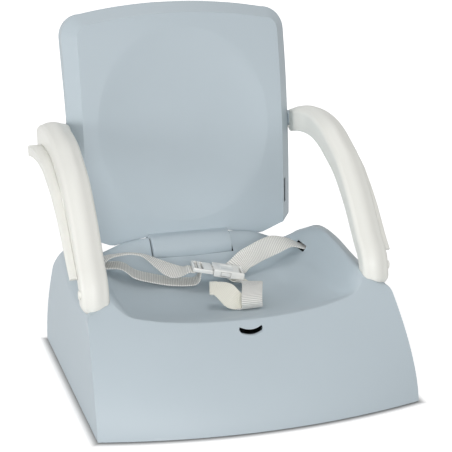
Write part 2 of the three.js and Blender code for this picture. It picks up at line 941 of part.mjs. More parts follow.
function rearShell() {

	let body = backRear().add( withMirror( ear() ) );
	for ( const [ x, z ] of screwSpots ) {

		const rear = bevelDeep + rearDepthAt( z );
		body = body.add( post( columnRadius, x, z, postTop + postGap, rear - backWall / 2, 14 ) );
		body = body.subtract( post( screwRadius + fitGap, x, z, postTop - cutOver, rear, 10 ) );
		body = body.subtract( post( screwHeadRadius + fitGap, x, z, rear - screwSink - screwHeadTall,
			rear + cutOver, 14 ) );

	}

	const bore = bar( spigotRadius + fitGap, backHalf - earWide * 2, backHalf + cutOver, bossY, bossZ, 16 );
	return body.subtract( withMirror( sideSlot() ) ).subtract( withMirror( bore ) );

}

function backScrew( x, z ) {

	const rear = bevelDeep + rearDepthAt( z );
	const head = post( screwHeadRadius, x, z, rear - screwSink - screwHeadTall + fitGap,
		rear - screwSink + fitGap, 14 );
	const socket = post( screwRadius, x, z, rear - screwSink - screwHeadTall / 3, rear, 6 );
	const shank = post( screwRadius, x, z, postTop - screwReach + fitGap,
		rear - screwSink - screwHeadTall / 2, 10 );
	return head.subtract( socket ).add( shank );

}

function armBoss() {

	const disk = bar( bossRadius, backHalf + fitGap, armInner - fitGap, bossY, bossZ, 28 );
	return disk.add( bar( spigotRadius, backHalf - spigotLong, backHalf + fitGap * 2, bossY, bossZ, 16 ) );

}

// A button on the outer side of each arm's foot
const catchBehindFoot = 1;
const catchRise = 21;
const catchY = armFootY + catchBehindFoot;
const catchZ = armFootZ + catchRise;
const catchHalfTall = 5;
const catchHalfWide = 3.2;
const catchProud = 2.2;
const catchDeep = 6;
const catchTravel = 2;

function oval( grow, x0, x1 ) {

	const geometry = new THREE.CylinderGeometry( catchHalfWide + grow, catchHalfWide + grow, x1 - x0, 18 );
	geometry.rotateZ( Math.PI / 2 );
	geometry.scale( 1, 1, ( catchHalfTall + grow ) / ( catchHalfWide + grow ) );
	geometry.translate( ( x0 + x1 ) / 2, catchY, catchZ );
	return solid( geometry );

}

function armSolid() {

	const face = armInner + armWidth;
	const pocket = oval( fitGap, face - catchDeep - catchTravel - fitGap, face + cutOver );
	return armBeam( 0 ).add( tenon( 0, armNose ) ).subtract( pocket );

}

// The buckle has its own frame: along it, across it and up
const buckleLong = 62;
const buckleHalfWide = 15.3;
const socketHalfTall = 4.5;
const frameHalfTall = 2.5;
const buckleWall = 2.4;
const barLong = 2.6;
const barGap = 3.6;
const barLow = 3;
const barHigh = 2.5;
const socketFrom = - 6;
const prongLong = 18;
const prongInner = 8.8;
const prongOuter = 11.6;
const prongProud = 0.6;
const windowFrom = 3;
const windowLong = 11;
const buckleX = 13;
const buckleBeforeBelt = 22;
const buckleY = beltY - buckleBeforeBelt;
const buckleLift = 18;
const alongBuckle = new THREE.Vector3( 1, - 0.167, - 0.2 ).normalize();
const acrossBuckle = new THREE.Vector3( 0.167, 1, 0 ).normalize();
const upBuckle = alongBuckle.clone().cross( acrossBuckle );
const buckleFrame = new THREE.Matrix4().makeBasis( alongBuckle, acrossBuckle, upBuckle )
	.setPosition( buckleX, buckleY, topHeight( buckleX, buckleY ) + buckleLift );
const buckleEnd = buckleLong / 2;
const slotWide = strapWide / 2 + fitGap * 2;

// A plate with its corners cut off, in the buckle's own frame
function plate( x0, x1, halfWide, halfTall, corner ) {

	const shape = new THREE.Shape( [ [ x0 + corner, - halfWide ], [ x1 - corner, - halfWide ],
		[ x1, corner - halfWide ],
		[ x1, halfWide - corner ], [ x1 - corner, halfWide ], [ x0 + corner, halfWide ],
			[ x0, halfWide - corner ],
		[ x0, corner - halfWide ] ].map( ( [ x, y ] ) => new THREE.Vector2( x, y ) ) );
	const geometry = new THREE.ExtrudeGeometry( shape, { depth: 2 * halfTall, bevelEnabled: false, steps: 1 } );
	geometry.translate( 0, 0, - halfTall );
	return solid( geometry );

}

function buckleSocket() {

	const inner = buckleHalfWide - buckleWall;
	const tall = socketHalfTall - buckleWall * 0.75;
	const slotEnd = buckleEnd - barLong;
	let body = plate( socketFrom, buckleEnd, buckleHalfWide, socketHalfTall, buckleWall );
	body = body.subtract( box( socketFrom - cutOver, socketFrom + prongLong + buckleWall, - inner, inner,
		- tall, tall ) );
	const past = socketHalfTall + cutOver;
	body = body.subtract( box( slotEnd - barGap, slotEnd, - slotWide, slotWide, - past, past ) );
	const overBars = [ slotEnd - cutOver / 2, buckleEnd + cutOver, - slotWide, slotWide ];
	body = body.subtract( box( ...overBars, barHigh, past ) );
	body = body.subtract( box( ...overBars, - past, - barLow ) );
	const from = windowFrom - runGap;
	const to = windowFrom + windowLong + runGap;
	const outside = buckleHalfWide + cutOver;
	const armTall = frameHalfTall + fitGap;
	const windows = box( from, to, - outside, outside, - armTall, armTall );
	const keep = box( from - cutOver, to + cutOver, - inner, inner, - socketHalfTall, socketHalfTall );
	return body.subtract( windows.subtract( keep ) );

}

function buckleTongue() {

	const slotStart = barLong - buckleEnd;
	const second = slotStart + barGap + barLong;
	const tall = frameHalfTall * 0.9;
	let body = plate( - buckleEnd, socketFrom - runGap, buckleHalfWide, frameHalfTall, buckleWall );
	body = body.subtract( box( slotStart, slotStart + barGap, - slotWide, slotWide, - socketHalfTall,
		socketHalfTall ) );
	body = body.subtract( box( second, second + barGap, - slotWide, slotWide, - socketHalfTall,
		socketHalfTall ) );
	return body.add( box( socketFrom - barLong, socketFrom + prongLong, - barLong, barLong, - tall, tall ) );

}

// The squeezed arm at each side of the tongue
function buckleProng( side ) {

	const tall = frameHalfTall * 0.9;
	const near = side * prongInner;
	const mid = side * prongOuter;
	const far = side * ( buckleHalfWide + prongProud );
	const armSpan = [ Math.min( near, mid ), Math.max( near, mid ) ];
	const barbSpan = [ Math.min( near, far ), Math.max( near, far ) ];
	const arm = box( socketFrom - runGap + fitGap, socketFrom + prongLong, ...armSpan, - tall, tall );
	return arm.add( box( windowFrom, windowFrom + windowLong, ...barbSpan, - tall, tall ) );

}

function inBuckle( body ) {

	return surface( body ).applyMatrix4( buckleFrame );

}

// Webbing rows: place of the middle, its lift over the seat, and heading and tilt of the width in degrees
const beltRunLength = 180;
const beltRowShare = 0.489;

function rowOn( acrossShare, alongShare, lift, heading, tilt ) {

	const x = baseWidth / 2 * acrossShare;
	const y = beltY + beltRunLength * ( alongShare - beltRowShare );
	return { at: new THREE.Vector3( x, y, topHeight( x, y ) + lift * strapWide ), heading, tilt };

}

const rowAt = ( x, z, heading, tilt ) => ( { at: new THREE.Vector3( x, beltY, z ), heading, tilt } );
const acrossHeading = THREE.MathUtils.radToDeg( Math.atan2( acrossBuckle.y, acrossBuckle.x ) );
const alongHeading = THREE.MathUtils.radToDeg( Math.atan2( alongBuckle.y, alongBuckle.x ) );
const alongTilt = THREE.MathUtils.radToDeg( Math.asin( alongBuckle.z ) );
const rowIn = ( x, z ) => ( {
	at: new THREE.Vector3( x, 0, z ).applyMatrix4( buckleFrame ), heading: acrossHeading, tilt: 0 } );

// A row beside the socket, in shares of its half length, half width and width
const inSocket = ( x, y, z ) => new THREE.Vector3( x, y, z ).applyMatrix4( buckleFrame );
const rowBy = ( along, across, up, heading, tilt ) => ( {
	at: inSocket( buckleEnd * along, buckleHalfWide * across, buckleHalfWide * up ), heading, tilt } );

function webbing( rows, fine ) {

	const stations = rows.map( ( row, i ) => i );
	const rings = [];
	const value = ( key, at ) => through( stations, rows.map( key ), at );
	const middle = ( at ) => new THREE.Vector3(
		value( ( r ) => r.at.x, at ), value( ( r ) => r.at.y, at ), value( ( r ) => r.at.z, at ) );
	const last = ( rows.length - 1 ) * fine;
	for ( let i = 0; i <= last; i ++ ) {

		const at = i / fine;
		const heading = THREE.MathUtils.degToRad( value( ( r ) => r.heading, at ) );
		const tilt = THREE.MathUtils.degToRad( value( ( r ) => r.tilt, at ) );
		const level = Math.cos( tilt );
		const across = new THREE.Vector3( Math.cos( heading ) * level, Math.sin( heading ) * level,
			Math.sin( tilt ) );
		const travel = middle( Math.min( at + 0.05,
			rows.length - 1 ) ).sub( middle( Math.max( at - 0.05, 0 ) ) );
		travel.addScaledVector( across, - travel.dot( across ) ).normalize();
		const face = across.clone().cross( travel );
		const corner = ( a, b ) => middle( at )
			.addScaledVector( across, a * strapWide / 2 ).addScaledVector( face, b * strapThick / 2 );
		rings.push( [ corner( 1, 1 ), corner( - 1, 1 ), corner( - 1, - 1 ), corner( 1, - 1 ) ] );

	}

	return solid( skin( rings ) );

}

const slotEnd = buckleEnd - barLong - barGap * 0.55;
const overBar = barHigh + strapThick * 1.15;
const underSocket = - socketHalfTall - strapThick * 0.7;
const strapRight = webbing( [
	rowAt( anchorX - fitGap, beltZ, 90, 0 ), rowAt( beltSlotX + beltSlotTall, beltZ, 90, 0 ),
	rowOn( 0.628, 0.489, 0.76, 84, 6 ), rowOn( 0.563, 0.489, 0.93, 90, 25 ),
	rowOn( 0.505, 0.489, 0.97, 100, 50 ),
	rowOn( 0.452, 0.486, 0.94, 109, 62 ), rowOn( 0.4, 0.478, 0.88, 113, 62 ),
	rowOn( 0.343, 0.469, 0.77, 116, 54 ),
	rowOn( 0.289, 0.46, 0.65, 122, 44 ), rowBy( 0.9, 1.27, 0.15, 136, 34 ),
	rowBy( 0.73, 1.24, - 0.2, 154, 22 ),
	rowBy( 0.68, 0.9, - 0.43, 166, 13 ), { ...rowBy( 0.74, 0.1, 0, 170.5, 11.2 ),
		at: inSocket( buckleEnd * 0.74, barLong * 0.6, underSocket ) },
], 3 );

const strapLeftUpper = webbing( [
	rowAt( fitGap - anchorX, beltZ + strandDrop, 90, 0 ),
	rowAt( - beltSlotX - beltSlotTall, beltZ + strandDrop, 90, 0 ),
	rowOn( - 0.65, 0.489, 0.78, 86, - 6 ), rowOn( - 0.588, 0.489, 1.04, 80, - 12 ),
	rowOn( - 0.501, 0.478, 1.26, 77, - 14 ),
	rowOn( - 0.444, 0.467, 1.31, 75, - 14 ), rowOn( - 0.4, 0.461, 1.26, 70, - 12 ),
	rowOn( - 0.355, 0.456, 1.1, 64, - 7 ),
	rowOn( - 0.306, 0.444, 0.9, 60, 3 ), rowOn( - 0.254, 0.433, 0.7, 58, 14 ),
	rowOn( - 0.2, 0.422, 0.58, 62, 18 ),
	rowOn( - 0.156, 0.411, 0.62, 70, 8 ),
	rowIn( - buckleEnd - barLong * 1.3, - overBar ), rowIn( barLong * 0.2 - buckleEnd, - overBar ),
	rowIn( barLong * 1.2 - buckleEnd, - overBar * 0.87 ), rowIn( - slotEnd, - barHigh * 0.75 ),
	rowIn( - slotEnd, barLow / 2 ),
], 3 );

const secondSlot = - buckleEnd + barLong * 2 + barGap * 1.5;
const strapLeftLower = webbing( [
	rowAt( fitGap - anchorX, beltZ - strandDrop, 90, 0 ),
	rowAt( - beltSlotX - beltSlotTall, beltZ - strandDrop, 90, 0 ),
	rowOn( - 0.556, 0.483, 0.59, 80, - 3 ), rowOn( - 0.461, 0.456, 0.34, 76, 0 ),
	rowOn( - 0.328, 0.433, 0.2, 76, 0 ),
	rowOn( - 0.23, 0.411, 0.15, 75, 0 ), rowOn( - 0.128, 0.4, 0.13, 77, 0 ),
	rowOn( - 0.078, 0.394, 0.16, 80, 0 ),
	rowIn( secondSlot, - socketHalfTall * 3 ), rowIn( secondSlot, - socketHalfTall * 1.6 ),
	rowIn( secondSlot, 0 ),
], 3 );

const strapTail = webbing( [
	{ at: new THREE.Vector3( buckleEnd * 0.74, - barLong,
		- socketHalfTall - strapThick ).applyMatrix4( buckleFrame ),
		heading: alongHeading, tilt: alongTilt },
	rowOn( 0.217, 0.267, 0.25, - 11, - 9 ), rowOn( 0.233, 0.205, 0.46, - 10, - 5 ),
	rowOn( 0.222, 0.083, 0.75, - 5, 0 ), rowOn( 0.183, - 0.044, 0.89, 0, 0 ),
	rowOn( 0.15, - 0.139, 0.69, 0, 0 ), rowOn( 0.139, - 0.175, 0.37, 0, 0 ),
	rowOn( 0.144, - 0.161, 0.11, 0, 0 ),
	rowOn( 0.115, - 0.139, 0.08, 8, 2 ), rowOn( 0.072, - 0.119, 0.24, 14, 14 ),
	rowOn( 0.034, - 0.089, 0.5, 18, 30 ),
	rowOn( 0.012, - 0.05, 0.7, 24, 36 ), rowOn( - 0.01, - 0.017, 0.8, 42, 27 ),
	rowOn( - 0.035, 0.008, 0.84, 56, 18 ),
	rowOn( - 0.079, 0.03, 0.84, 74, 11 ),
], 3 );

// Hinge pin with a plug at each end of its bore
const plugLong = 4;
const plugSink = 0.4;

addNode( 'base_shell', surface( baseShell() ), blueGrey );
[ 'front_right', 'rear_right', 'front_left', 'rear_left' ].forEach( ( corner, i ) => {

	const [ x, y ] = padSpots[ i ];
	addNode( `foot_pad_${ corner }`, surface( disc( padRadius, x, y, 0, padTall, 20 ) ), darkRubber );

} );
addNode( 'back_front_shell', surface( frontShell() ), blueGrey );
addNode( 'back_rear_shell', surface( rearShell() ), blueGrey );
screwSpots.forEach( ( [ x, z ], i ) => addNode( `back_screw_${ i + 1 }`, surface( backScrew( x, z ) ),
	steel ) );
addNode( 'hinge_pin', surface( bar( pinRadius, plugLong - pinHalf, pinHalf - plugLong, hingeY, hingeZ,
	16 ) ), steel );
addPair( 'pin_plug', bar( pinRadius, pinHalf - plugLong + fitGap, pinHalf - plugSink, hingeY, hingeZ, 16 ),
	blueGrey );
addPair( 'arm_boss', armBoss(), blueGrey );
addPair( 'arm_beam', armSolid(), warmWhite );
addPair( 'arm_rail', railBody(), warmWhite );
addPair( 'arm_catch', oval( 0, armInner + armWidth - catchDeep, armInner + armWidth + catchProud ), warmWhite );
addPair( 'belt_anchor', beltAnchor(), darkRubber );
addNode( 'strap_right', surface( strapRight ), webbingWhite );
addNode( 'strap_left_upper', surface( strapLeftUpper ), webbingWhite );
addNode( 'strap_left_lower', surface( strapLeftLower ), webbingWhite );
addNode( 'strap_tail', surface( strapTail ), webbingWhite );
addNode( 'buckle_socket', inBuckle( buckleSocket() ), glossWhite );
addNode( 'buckle_tongue', inBuckle( buckleTongue() ), glossWhite );
addNode( 'buckle_prong_front', inBuckle( buckleProng( - 1 ) ), glossWhite );
addNode( 'buckle_prong_rear', inBuckle( buckleProng( 1 ) ), glossWhite );

// The origin lies under the middle of the whole seat
const whole = new THREE.Box3().setFromObject( group );
for ( const mesh of group.children ) mesh.geometry.translate( 0, - ( whole.min.y + whole.max.y ) / 2,
	- whole.min.z );

export default group;
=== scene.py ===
import json
import math

import bmesh
import bpy
import numpy as np
from mathutils import Matrix, Vector


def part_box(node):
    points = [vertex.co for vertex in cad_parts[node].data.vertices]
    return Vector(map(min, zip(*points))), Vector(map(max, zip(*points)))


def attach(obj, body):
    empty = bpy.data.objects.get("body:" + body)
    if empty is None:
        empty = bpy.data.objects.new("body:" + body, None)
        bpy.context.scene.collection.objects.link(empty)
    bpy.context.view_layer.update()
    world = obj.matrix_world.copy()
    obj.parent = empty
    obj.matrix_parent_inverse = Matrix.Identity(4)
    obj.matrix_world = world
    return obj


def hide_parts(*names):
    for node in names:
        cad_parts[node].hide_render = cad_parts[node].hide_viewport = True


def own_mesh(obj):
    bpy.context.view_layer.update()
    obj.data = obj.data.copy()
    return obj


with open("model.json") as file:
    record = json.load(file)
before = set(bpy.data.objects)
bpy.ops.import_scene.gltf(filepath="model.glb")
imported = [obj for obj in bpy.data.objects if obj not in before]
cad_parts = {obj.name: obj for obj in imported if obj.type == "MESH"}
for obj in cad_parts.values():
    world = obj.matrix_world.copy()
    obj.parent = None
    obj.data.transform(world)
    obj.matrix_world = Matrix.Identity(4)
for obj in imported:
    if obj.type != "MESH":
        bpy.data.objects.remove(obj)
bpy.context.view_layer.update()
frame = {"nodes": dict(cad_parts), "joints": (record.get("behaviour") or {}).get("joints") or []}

bl_info = {
    "name": "Chair booster seat",
    "version": (1, 0, 0),
    "blender": (4, 5, 0),
    "location": "3D View > Sidebar > Booster seat",
    "description": "Mouldings, lift-off arms and lap belt of a chair booster seat",
    "category": "Add Mesh",
}

MM = 0.001

# Places that the frame fixes, in millimetres. REAR is the base's rear face in the seat's own drawing.
BASE_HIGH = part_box("base_shell")[1]
REAR = 151.5
SHIFT = BASE_HIGH.y / MM - REAR
HINGE = next(j for j in frame["joints"] if j["name"] == "back_fold")["pos_m"]
HINGE_Y = HINGE[1] / MM - SHIFT
HINGE_Z = HINGE[2] / MM


def placed(x, y, z):
    """A point of the seat's drawing, in millimetres, as a point of the frame."""
    return (x * MM, (y + SHIFT) * MM, z * MM)


def linear(red, green, blue):
    """A colour as it is seen, 0 to 255, made linear."""
    out = []
    for c in (red / 255, green / 255, blue / 255):
        out.append(c / 12.92 if c <= 0.04045 else ((c + 0.055) / 1.055) ** 2.4)
    return (*out, 1.0)


# Sizes and colours that a user would change


class ShellSettings(bpy.types.PropertyGroup):
    colour: bpy.props.FloatVectorProperty(
        name="Shell colour", description="Light blue-grey of the mouldings", subtype="COLOR",
        size=4, min=0, max=1, default=linear(190, 202, 209))
    roughness: bpy.props.FloatProperty(
        name="Roughness", description="How matt the mouldings are", default=0.5, min=0, max=1)
    rim_round: bpy.props.FloatProperty(
        name="Rim rounding", description="Rounding of the bowl's front rim", unit="LENGTH",
        default=2.2 * MM)
    edge_round: bpy.props.FloatProperty(
        name="Edge rounding", description="Rounding of the upright edges", unit="LENGTH",
        default=1.8 * MM)
    dish: bpy.props.FloatProperty(
        name="Dish depth", description="Depth of the oval dish in the backrest", unit="LENGTH",
        default=6.0 * MM)
    panel_round: bpy.props.FloatProperty(
        name="Panel rounding", description="Rounding between panel and bevel", unit="LENGTH",
        default=1.4 * MM)


class ArmSettings(bpy.types.PropertyGroup):
    colour: bpy.props.FloatVectorProperty(
        name="Arm colour", description="Warm white of the arms", subtype="COLOR",
        size=4, min=0, max=1, default=linear(238, 238, 232))
    roughness: bpy.props.FloatProperty(
        name="Roughness", description="How matt the arms are", default=0.42, min=0, max=1)
    rail_round: bpy.props.FloatProperty(
        name="Rail rounding", description="Rounding of the rail's edges", unit="LENGTH",
        default=0.8 * MM)


class BeltSettings(bpy.types.PropertyGroup):
    webbing: bpy.props.FloatVectorProperty(
        name="Webbing colour", description="Off-white of the webbing", subtype="COLOR",
        size=4, min=0, max=1, default=linear(245, 244, 239))
    buckle: bpy.props.FloatVectorProperty(
        name="Buckle colour", description="White of the buckle", subtype="COLOR",
        size=4, min=0, max=1, default=linear(244, 244, 241))
    rib: bpy.props.FloatProperty(
        name="Rib pitch", description="Distance from rib to rib of the webbing", unit="LENGTH",
        default=2.1 * MM)


# Curves and outlines


def through(stations, values, at):
    """A smooth curve through values at rising stations."""
    last = len(stations) - 1
    i = 0
    while i < last - 1 and at > stations[i + 1]:
        i += 1

    def slope(k):
        a, b = max(k - 1, 0), min(k + 1, last)
        return (values[b] - values[a]) / (stations[b] - stations[a])

    span = stations[i + 1] - stations[i]
    t = min(max((at - stations[i]) / span, 0.0), 1.0)
    t2, t3 = t * t, t * t * t
    return ((2 * t3 - 3 * t2 + 1) * values[i] + (t3 - 2 * t2 + t) * span * slope(i)
            + (3 * t2 - 2 * t3) * values[i + 1] + (t3 - t2) * span * slope(i + 1))


def smooth(low, high, value):
    """Goes softly from 0 to 1 while the value goes from low to high."""
    t = min(max((value - low) / (high - low), 0.0), 1.0)
    return t * t * (3 - 2 * t)


def lengths(points):
    """Distance along a line of points from its start to each of them."""
    steps = np.linalg.norm(np.diff(points, axis=0), axis=1)
    return np.concatenate(([0.0], np.cumsum(steps)))


def trimmed(points, start, end, count):
    """The stretch of a line between two distances from its ends, in even steps."""
    points = np.array(points, float)
    run = lengths(points)
    at = np.linspace(start, run[-1] - end, count)
    return [tuple(np.interp(a, run, points[:, k]) for k in range(points.shape[1])) for a in at]


def bend(before, corner, after, count):
    """Points between two ends, rounded round a corner, without the ends."""
    out = []
    for i in range(1, count + 1):
        t = i / (count + 1)
        out.append(tuple((1 - t) ** 2 * b + 2 * t * (1 - t) * c + t * t * a
                         for b, c, a in zip(before, corner, after)))
    return out


def pointed(rings):
    """The rings with both ends closed to a point in the middle of the end ring."""
    first, last = (tuple(np.mean(np.array(ring), axis=0)) for ring in (rings[0], rings[-1]))
    return [[first] * len(rings[0])] + rings + [[last] * len(rings[-1])]


# Mesh work with Blender's own tools

MERGE = 1e-5
WELD = 1e-6


def deselect():
    """Leaves edit mode and selects nothing."""
    if bpy.context.object and bpy.context.object.mode != "OBJECT":
        bpy.ops.object.mode_set(mode="OBJECT")
    bpy.ops.object.select_all(action="DESELECT")


def focus(obj):
    """Makes one object the only selected and the active one."""
    deselect()
    obj.select_set(True)
    bpy.context.view_layer.objects.active = obj


def sheet_of(name, rows, wrap=False):
    """A grid primitive whose points are moved onto rows of points in the drawing, in millimetres."""
    if wrap:
        rows = [list(row) + [row[0]] for row in rows]
    across, along = len(rows[0]), len(rows)
    deselect()
    bpy.ops.mesh.primitive_grid_add(
        x_subdivisions=across - 1, y_subdivisions=along - 1, size=1, location=(0, 0, 0))
    obj = bpy.context.object
    obj.name = obj.data.name = name
    coords = np.array([placed(*p) for row in rows for p in row], np.float32)
    obj.data.vertices.foreach_set("co", coords.ravel())
    obj.data.update()
    return obj


def edit(obj):
    """Goes into edit mode with the whole mesh selected."""
    focus(obj)
    bpy.ops.object.mode_set(mode="EDIT")
    bpy.ops.mesh.select_all(action="SELECT")


def done():
    """Goes back from edit mode to object mode."""
    bpy.ops.object.mode_set(mode="OBJECT")


def welded(obj):
    """Merges points that meet and turns the faces outward."""
    edit(obj)
    bpy.ops.mesh.remove_doubles(threshold=MERGE)
    bpy.ops.mesh.dissolve_degenerate(threshold=WELD)
    bpy.ops.mesh.normals_make_consistent(inside=False)
    done()
    return obj


def closed(obj, fill, weld=WELD):
    """Welds the seam of a sheet, closes its open ends with a fill operator and turns its faces outward."""
    edit(obj)
    if weld:
        bpy.ops.mesh.remove_doubles(threshold=weld)
    bpy.ops.mesh.select_mode(type="EDGE")
    bpy.ops.mesh.select_all(action="DESELECT")
    bpy.ops.mesh.select_non_manifold()
    fill()
    bpy.ops.mesh.select_all(action="SELECT")
    bpy.ops.mesh.normals_make_consistent(inside=False)
    bpy.ops.mesh.select_mode(type="VERT")
    done()
    return obj


def prism(name, points, left, right):
    """A bar with one outline of (y, z) between two planes across the seat."""
    sheet = sheet_of(name, [[(x, y, z) for y, z in points] for x in (left, right)], wrap=True)
    return closed(sheet, bpy.ops.mesh.fill)


def fill_open(obj, test):
    """Closes the open edge loop whose points pass the test with one face."""
    edit(obj)
    bpy.ops.mesh.select_all(action="DESELECT")
    shape = bmesh.from_edit_mesh(obj.data)
    for e in shape.edges:
        if e.is_boundary and all(test(v.co) for v in e.verts):
            e.select = True
    bmesh.update_edit_mesh(obj.data)
    bpy.ops.mesh.edge_face_add()
    done()


def modifier(obj, kind, **values):
    """Adds a modifier with its values and applies it."""
    focus(obj)
    m = obj.modifiers.new(kind.title(), kind)
    for key, value in values.items():
        setattr(m, key, value)
    bpy.ops.object.modifier_apply(modifier=m.name)
    return obj


def rounded(obj, width, segments, angle):
    """Bevels the edges that are sharper than an angle in degrees. The width is in metres."""
    return modifier(obj, "BEVEL", width=width, segments=segments, limit_method="ANGLE",
                    angle_limit=math.radians(angle), use_clamp_overlap=True, harden_normals=False)


def cut(obj, tool, operation="DIFFERENCE"):
    """Cuts a tool out of a piece, or joins the two, and removes the tool."""
    modifier(obj, "BOOLEAN", object=tool, operation=operation, solver="EXACT")
    bpy.data.objects.remove(tool)
    if not obj.data.polygons:
        raise RuntimeError(f"nothing is left of {obj.name} after a cut")
    return obj


def joined(objs):
    """Makes one object of several."""
    deselect()
    for o in objs:
        o.select_set(True)
    bpy.context.view_layer.objects.active = objs[0]
    bpy.ops.object.join()
    return objs[0]


def smoothed(obj, angle):
    """Shades smooth across the edges that are blunter than an angle in degrees."""
    focus(obj)
    bpy.ops.object.shade_smooth_by_angle(angle=math.radians(angle))
    return obj


def even(obj):
    """Keeps large faces flat beside small ones."""
    return modifier(obj, "WEIGHTED_NORMAL", keep_sharp=True, weight=60)


def settled(obj):
    """Puts the object's place into its mesh."""
    focus(obj)
    bpy.ops.object.transform_apply(location=True, rotation=True, scale=True)
    return obj


def block(name, low, high):
    """A box between two corners in the drawing, in millimetres."""
    low, high = Vector(placed(*low)), Vector(placed(*high))
    deselect()
    bpy.ops.mesh.primitive_cube_add(size=1, location=(low + high) / 2)
    obj = bpy.context.object
    obj.name = obj.data.name = name
    obj.scale = high - low
    return settled(obj)


def beside(name, side, low, high):
    """A box as block makes it, given for the right side of the seat (1) and mirrored for the left (-1)."""
    left, right = sorted((side * low[0], side * high[0]))
    return block(name, (left, *low[1:]), (right, *high[1:]))


def round_bar(name, radius, length, middle, axis, vertices):
    """A round bar about an axis through a point of the drawing, in millimetres."""
    deselect()
    turn = {"X": (0, math.pi / 2, 0), "Y": (math.pi / 2, 0, 0), "Z": (0, 0, 0)}[axis]
    bpy.ops.mesh.primitive_cylinder_add(vertices=vertices, radius=radius * MM, depth=length * MM,
                                        location=placed(*middle), rotation=turn)
    obj = bpy.context.object
    obj.name = obj.data.name = name
    return settled(obj)


def mirrored(obj, name):
    """The same piece for the other side, with a mesh of its own."""
    focus(obj)
    bpy.ops.object.duplicate()
    copy = bpy.context.object
    copy.name = copy.data.name = name
    copy.data.transform(Matrix.Scale(-1, 4, (1, 0, 0)))
    edit(copy)
    bpy.ops.mesh.normals_make_consistent(inside=False)
    done()
    return copy


def finished(obj, material, body, slot, *nodes):
    """Gives a piece its material and the body it moves with, and hides the CAD nodes it stands for. The slot,
    its finish's name, is not used.
    """
    obj.data.materials.clear()
    obj.data.materials.append(material)
    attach(obj, body)
    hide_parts(*nodes)
    return obj


# Shader nodes, and the surface effects that several materials share

STRAP_MAP = "StrapMap"
WORN = (0.9, 0.92, 0.93, 1)
RUBBER = linear(58, 62, 66)
STEEL = linear(188, 190, 192)
# SHADOW is the near-black used as painted shade on the walls of narrow gaps.
SHADOW = linear(26, 30, 34)
FLAT_BACK = linear(238, 236, 224)
PLASTIC_SPECULAR = 0.42
COAT_ROUGHNESS = 0.12
GRAIN_STRENGTH = 0.5
RIB_STRENGTH = 0.9
THREAD_PITCH = 0.0011
THREAD_SCALE = 1400.0
BROAD_SCALE = 14.0
SHEEN = 0.25


def feed(tree, value, socket):
    """Gives a socket a plain value, or links another socket to it."""
    if isinstance(value, bpy.types.NodeSocket):
        tree.links.new(value, socket)
    else:
        socket.default_value = value


def node_of(tree, kind, inputs, **settings):
    """A new node with its settings, and with its inputs fed by their names or places."""
    node = tree.nodes.new(kind)
    for key, value in settings.items():
        setattr(node, key, value)
    for key, value in inputs.items():
        feed(tree, value, node.inputs[key])
    return node


def maths(tree, operation, *values):
    """The result of a Math node on numbers and sockets."""
    return node_of(tree, "ShaderNodeMath", dict(enumerate(values)), operation=operation).outputs[0]


def vectors(tree, operation, a, b):
    """The vector that a Vector Math node makes of two others."""
    return node_of(tree, "ShaderNodeVectorMath", {0: a, 1: b}, operation=operation).outputs["Vector"]


def noise(tree, place, scale, detail=2.0, roughness=0.5):
    """A cloudy value from 0 to 1 that follows a place."""
    inputs = {"Vector": place, "Scale": scale, "Detail": detail, "Roughness": roughness}
    return node_of(tree, "ShaderNodeTexNoise", inputs).outputs["Fac"]


def ranged(tree, value, low, high, to_low=0.0, to_high=1.0, kind="LINEAR"):
    """A value moved from one range into another and kept inside it."""
    inputs = {"Value": value, "From Min": low, "From Max": high, "To Min": to_low, "To Max": to_high}
    return node_of(tree, "ShaderNodeMapRange", inputs, interpolation_type=kind).outputs["Result"]


def scaled(tree, colour, amount):
    """A colour made lighter or darker by a factor."""
    return node_of(tree, "ShaderNodeVectorMath", {0: colour, "Scale": amount}, operation="SCALE").outputs[0]


def bumped(tree, height, depth, strength):
    """The normal of a skin that follows a height, over a depth in metres."""
    inputs = {"Height": height, "Distance": depth, "Strength": strength}
    return node_of(tree, "ShaderNodeBump", inputs).outputs["Normal"]


def group_of(name, inputs, outputs):
    """A new node group with its named inputs and outputs, and the nodes at its two ends."""
    tree = bpy.data.node_groups.new(name, "ShaderNodeTree")
    for label, kind, value in inputs:
        tree.interface.new_socket(label, in_out="INPUT", socket_type=kind).default_value = value
    for label, kind in outputs:
        tree.interface.new_socket(label, in_out="OUTPUT", socket_type=kind)
    return tree, tree.nodes.new("NodeGroupInput"), tree.nodes.new("NodeGroupOutput")


def grain_group():
    """Fine grain of a moulding, as a normal and a roughness that wanders a little."""
    name = "Moulded grain"
    if name in bpy.data.node_groups:
        return bpy.data.node_groups[name]
    tree, start, end = group_of(
        name,
        [("Scale", "NodeSocketFloat", 900.0), ("Depth", "NodeSocketFloat", 0.00002),
         ("Roughness", "NodeSocketFloat", 0.5), ("Wander", "NodeSocketFloat", 0.06)],
        [("Normal", "NodeSocketVector"), ("Roughness", "NodeSocketFloat")])
    place = tree.nodes.new("ShaderNodeTexCoord").outputs["Object"]
    grain = noise(tree, place, start.outputs["Scale"], detail=3)
    feed(tree, bumped(tree, grain, start.outputs["Depth"], GRAIN_STRENGTH), end.inputs["Normal"])
    broad = maths(tree, "SUBTRACT", noise(tree, place, BROAD_SCALE, detail=4), 0.5)
    matt = maths(tree, "MULTIPLY_ADD", broad, start.outputs["Wander"], start.outputs["Roughness"])
    feed(tree, matt, end.inputs["Roughness"])
    return tree


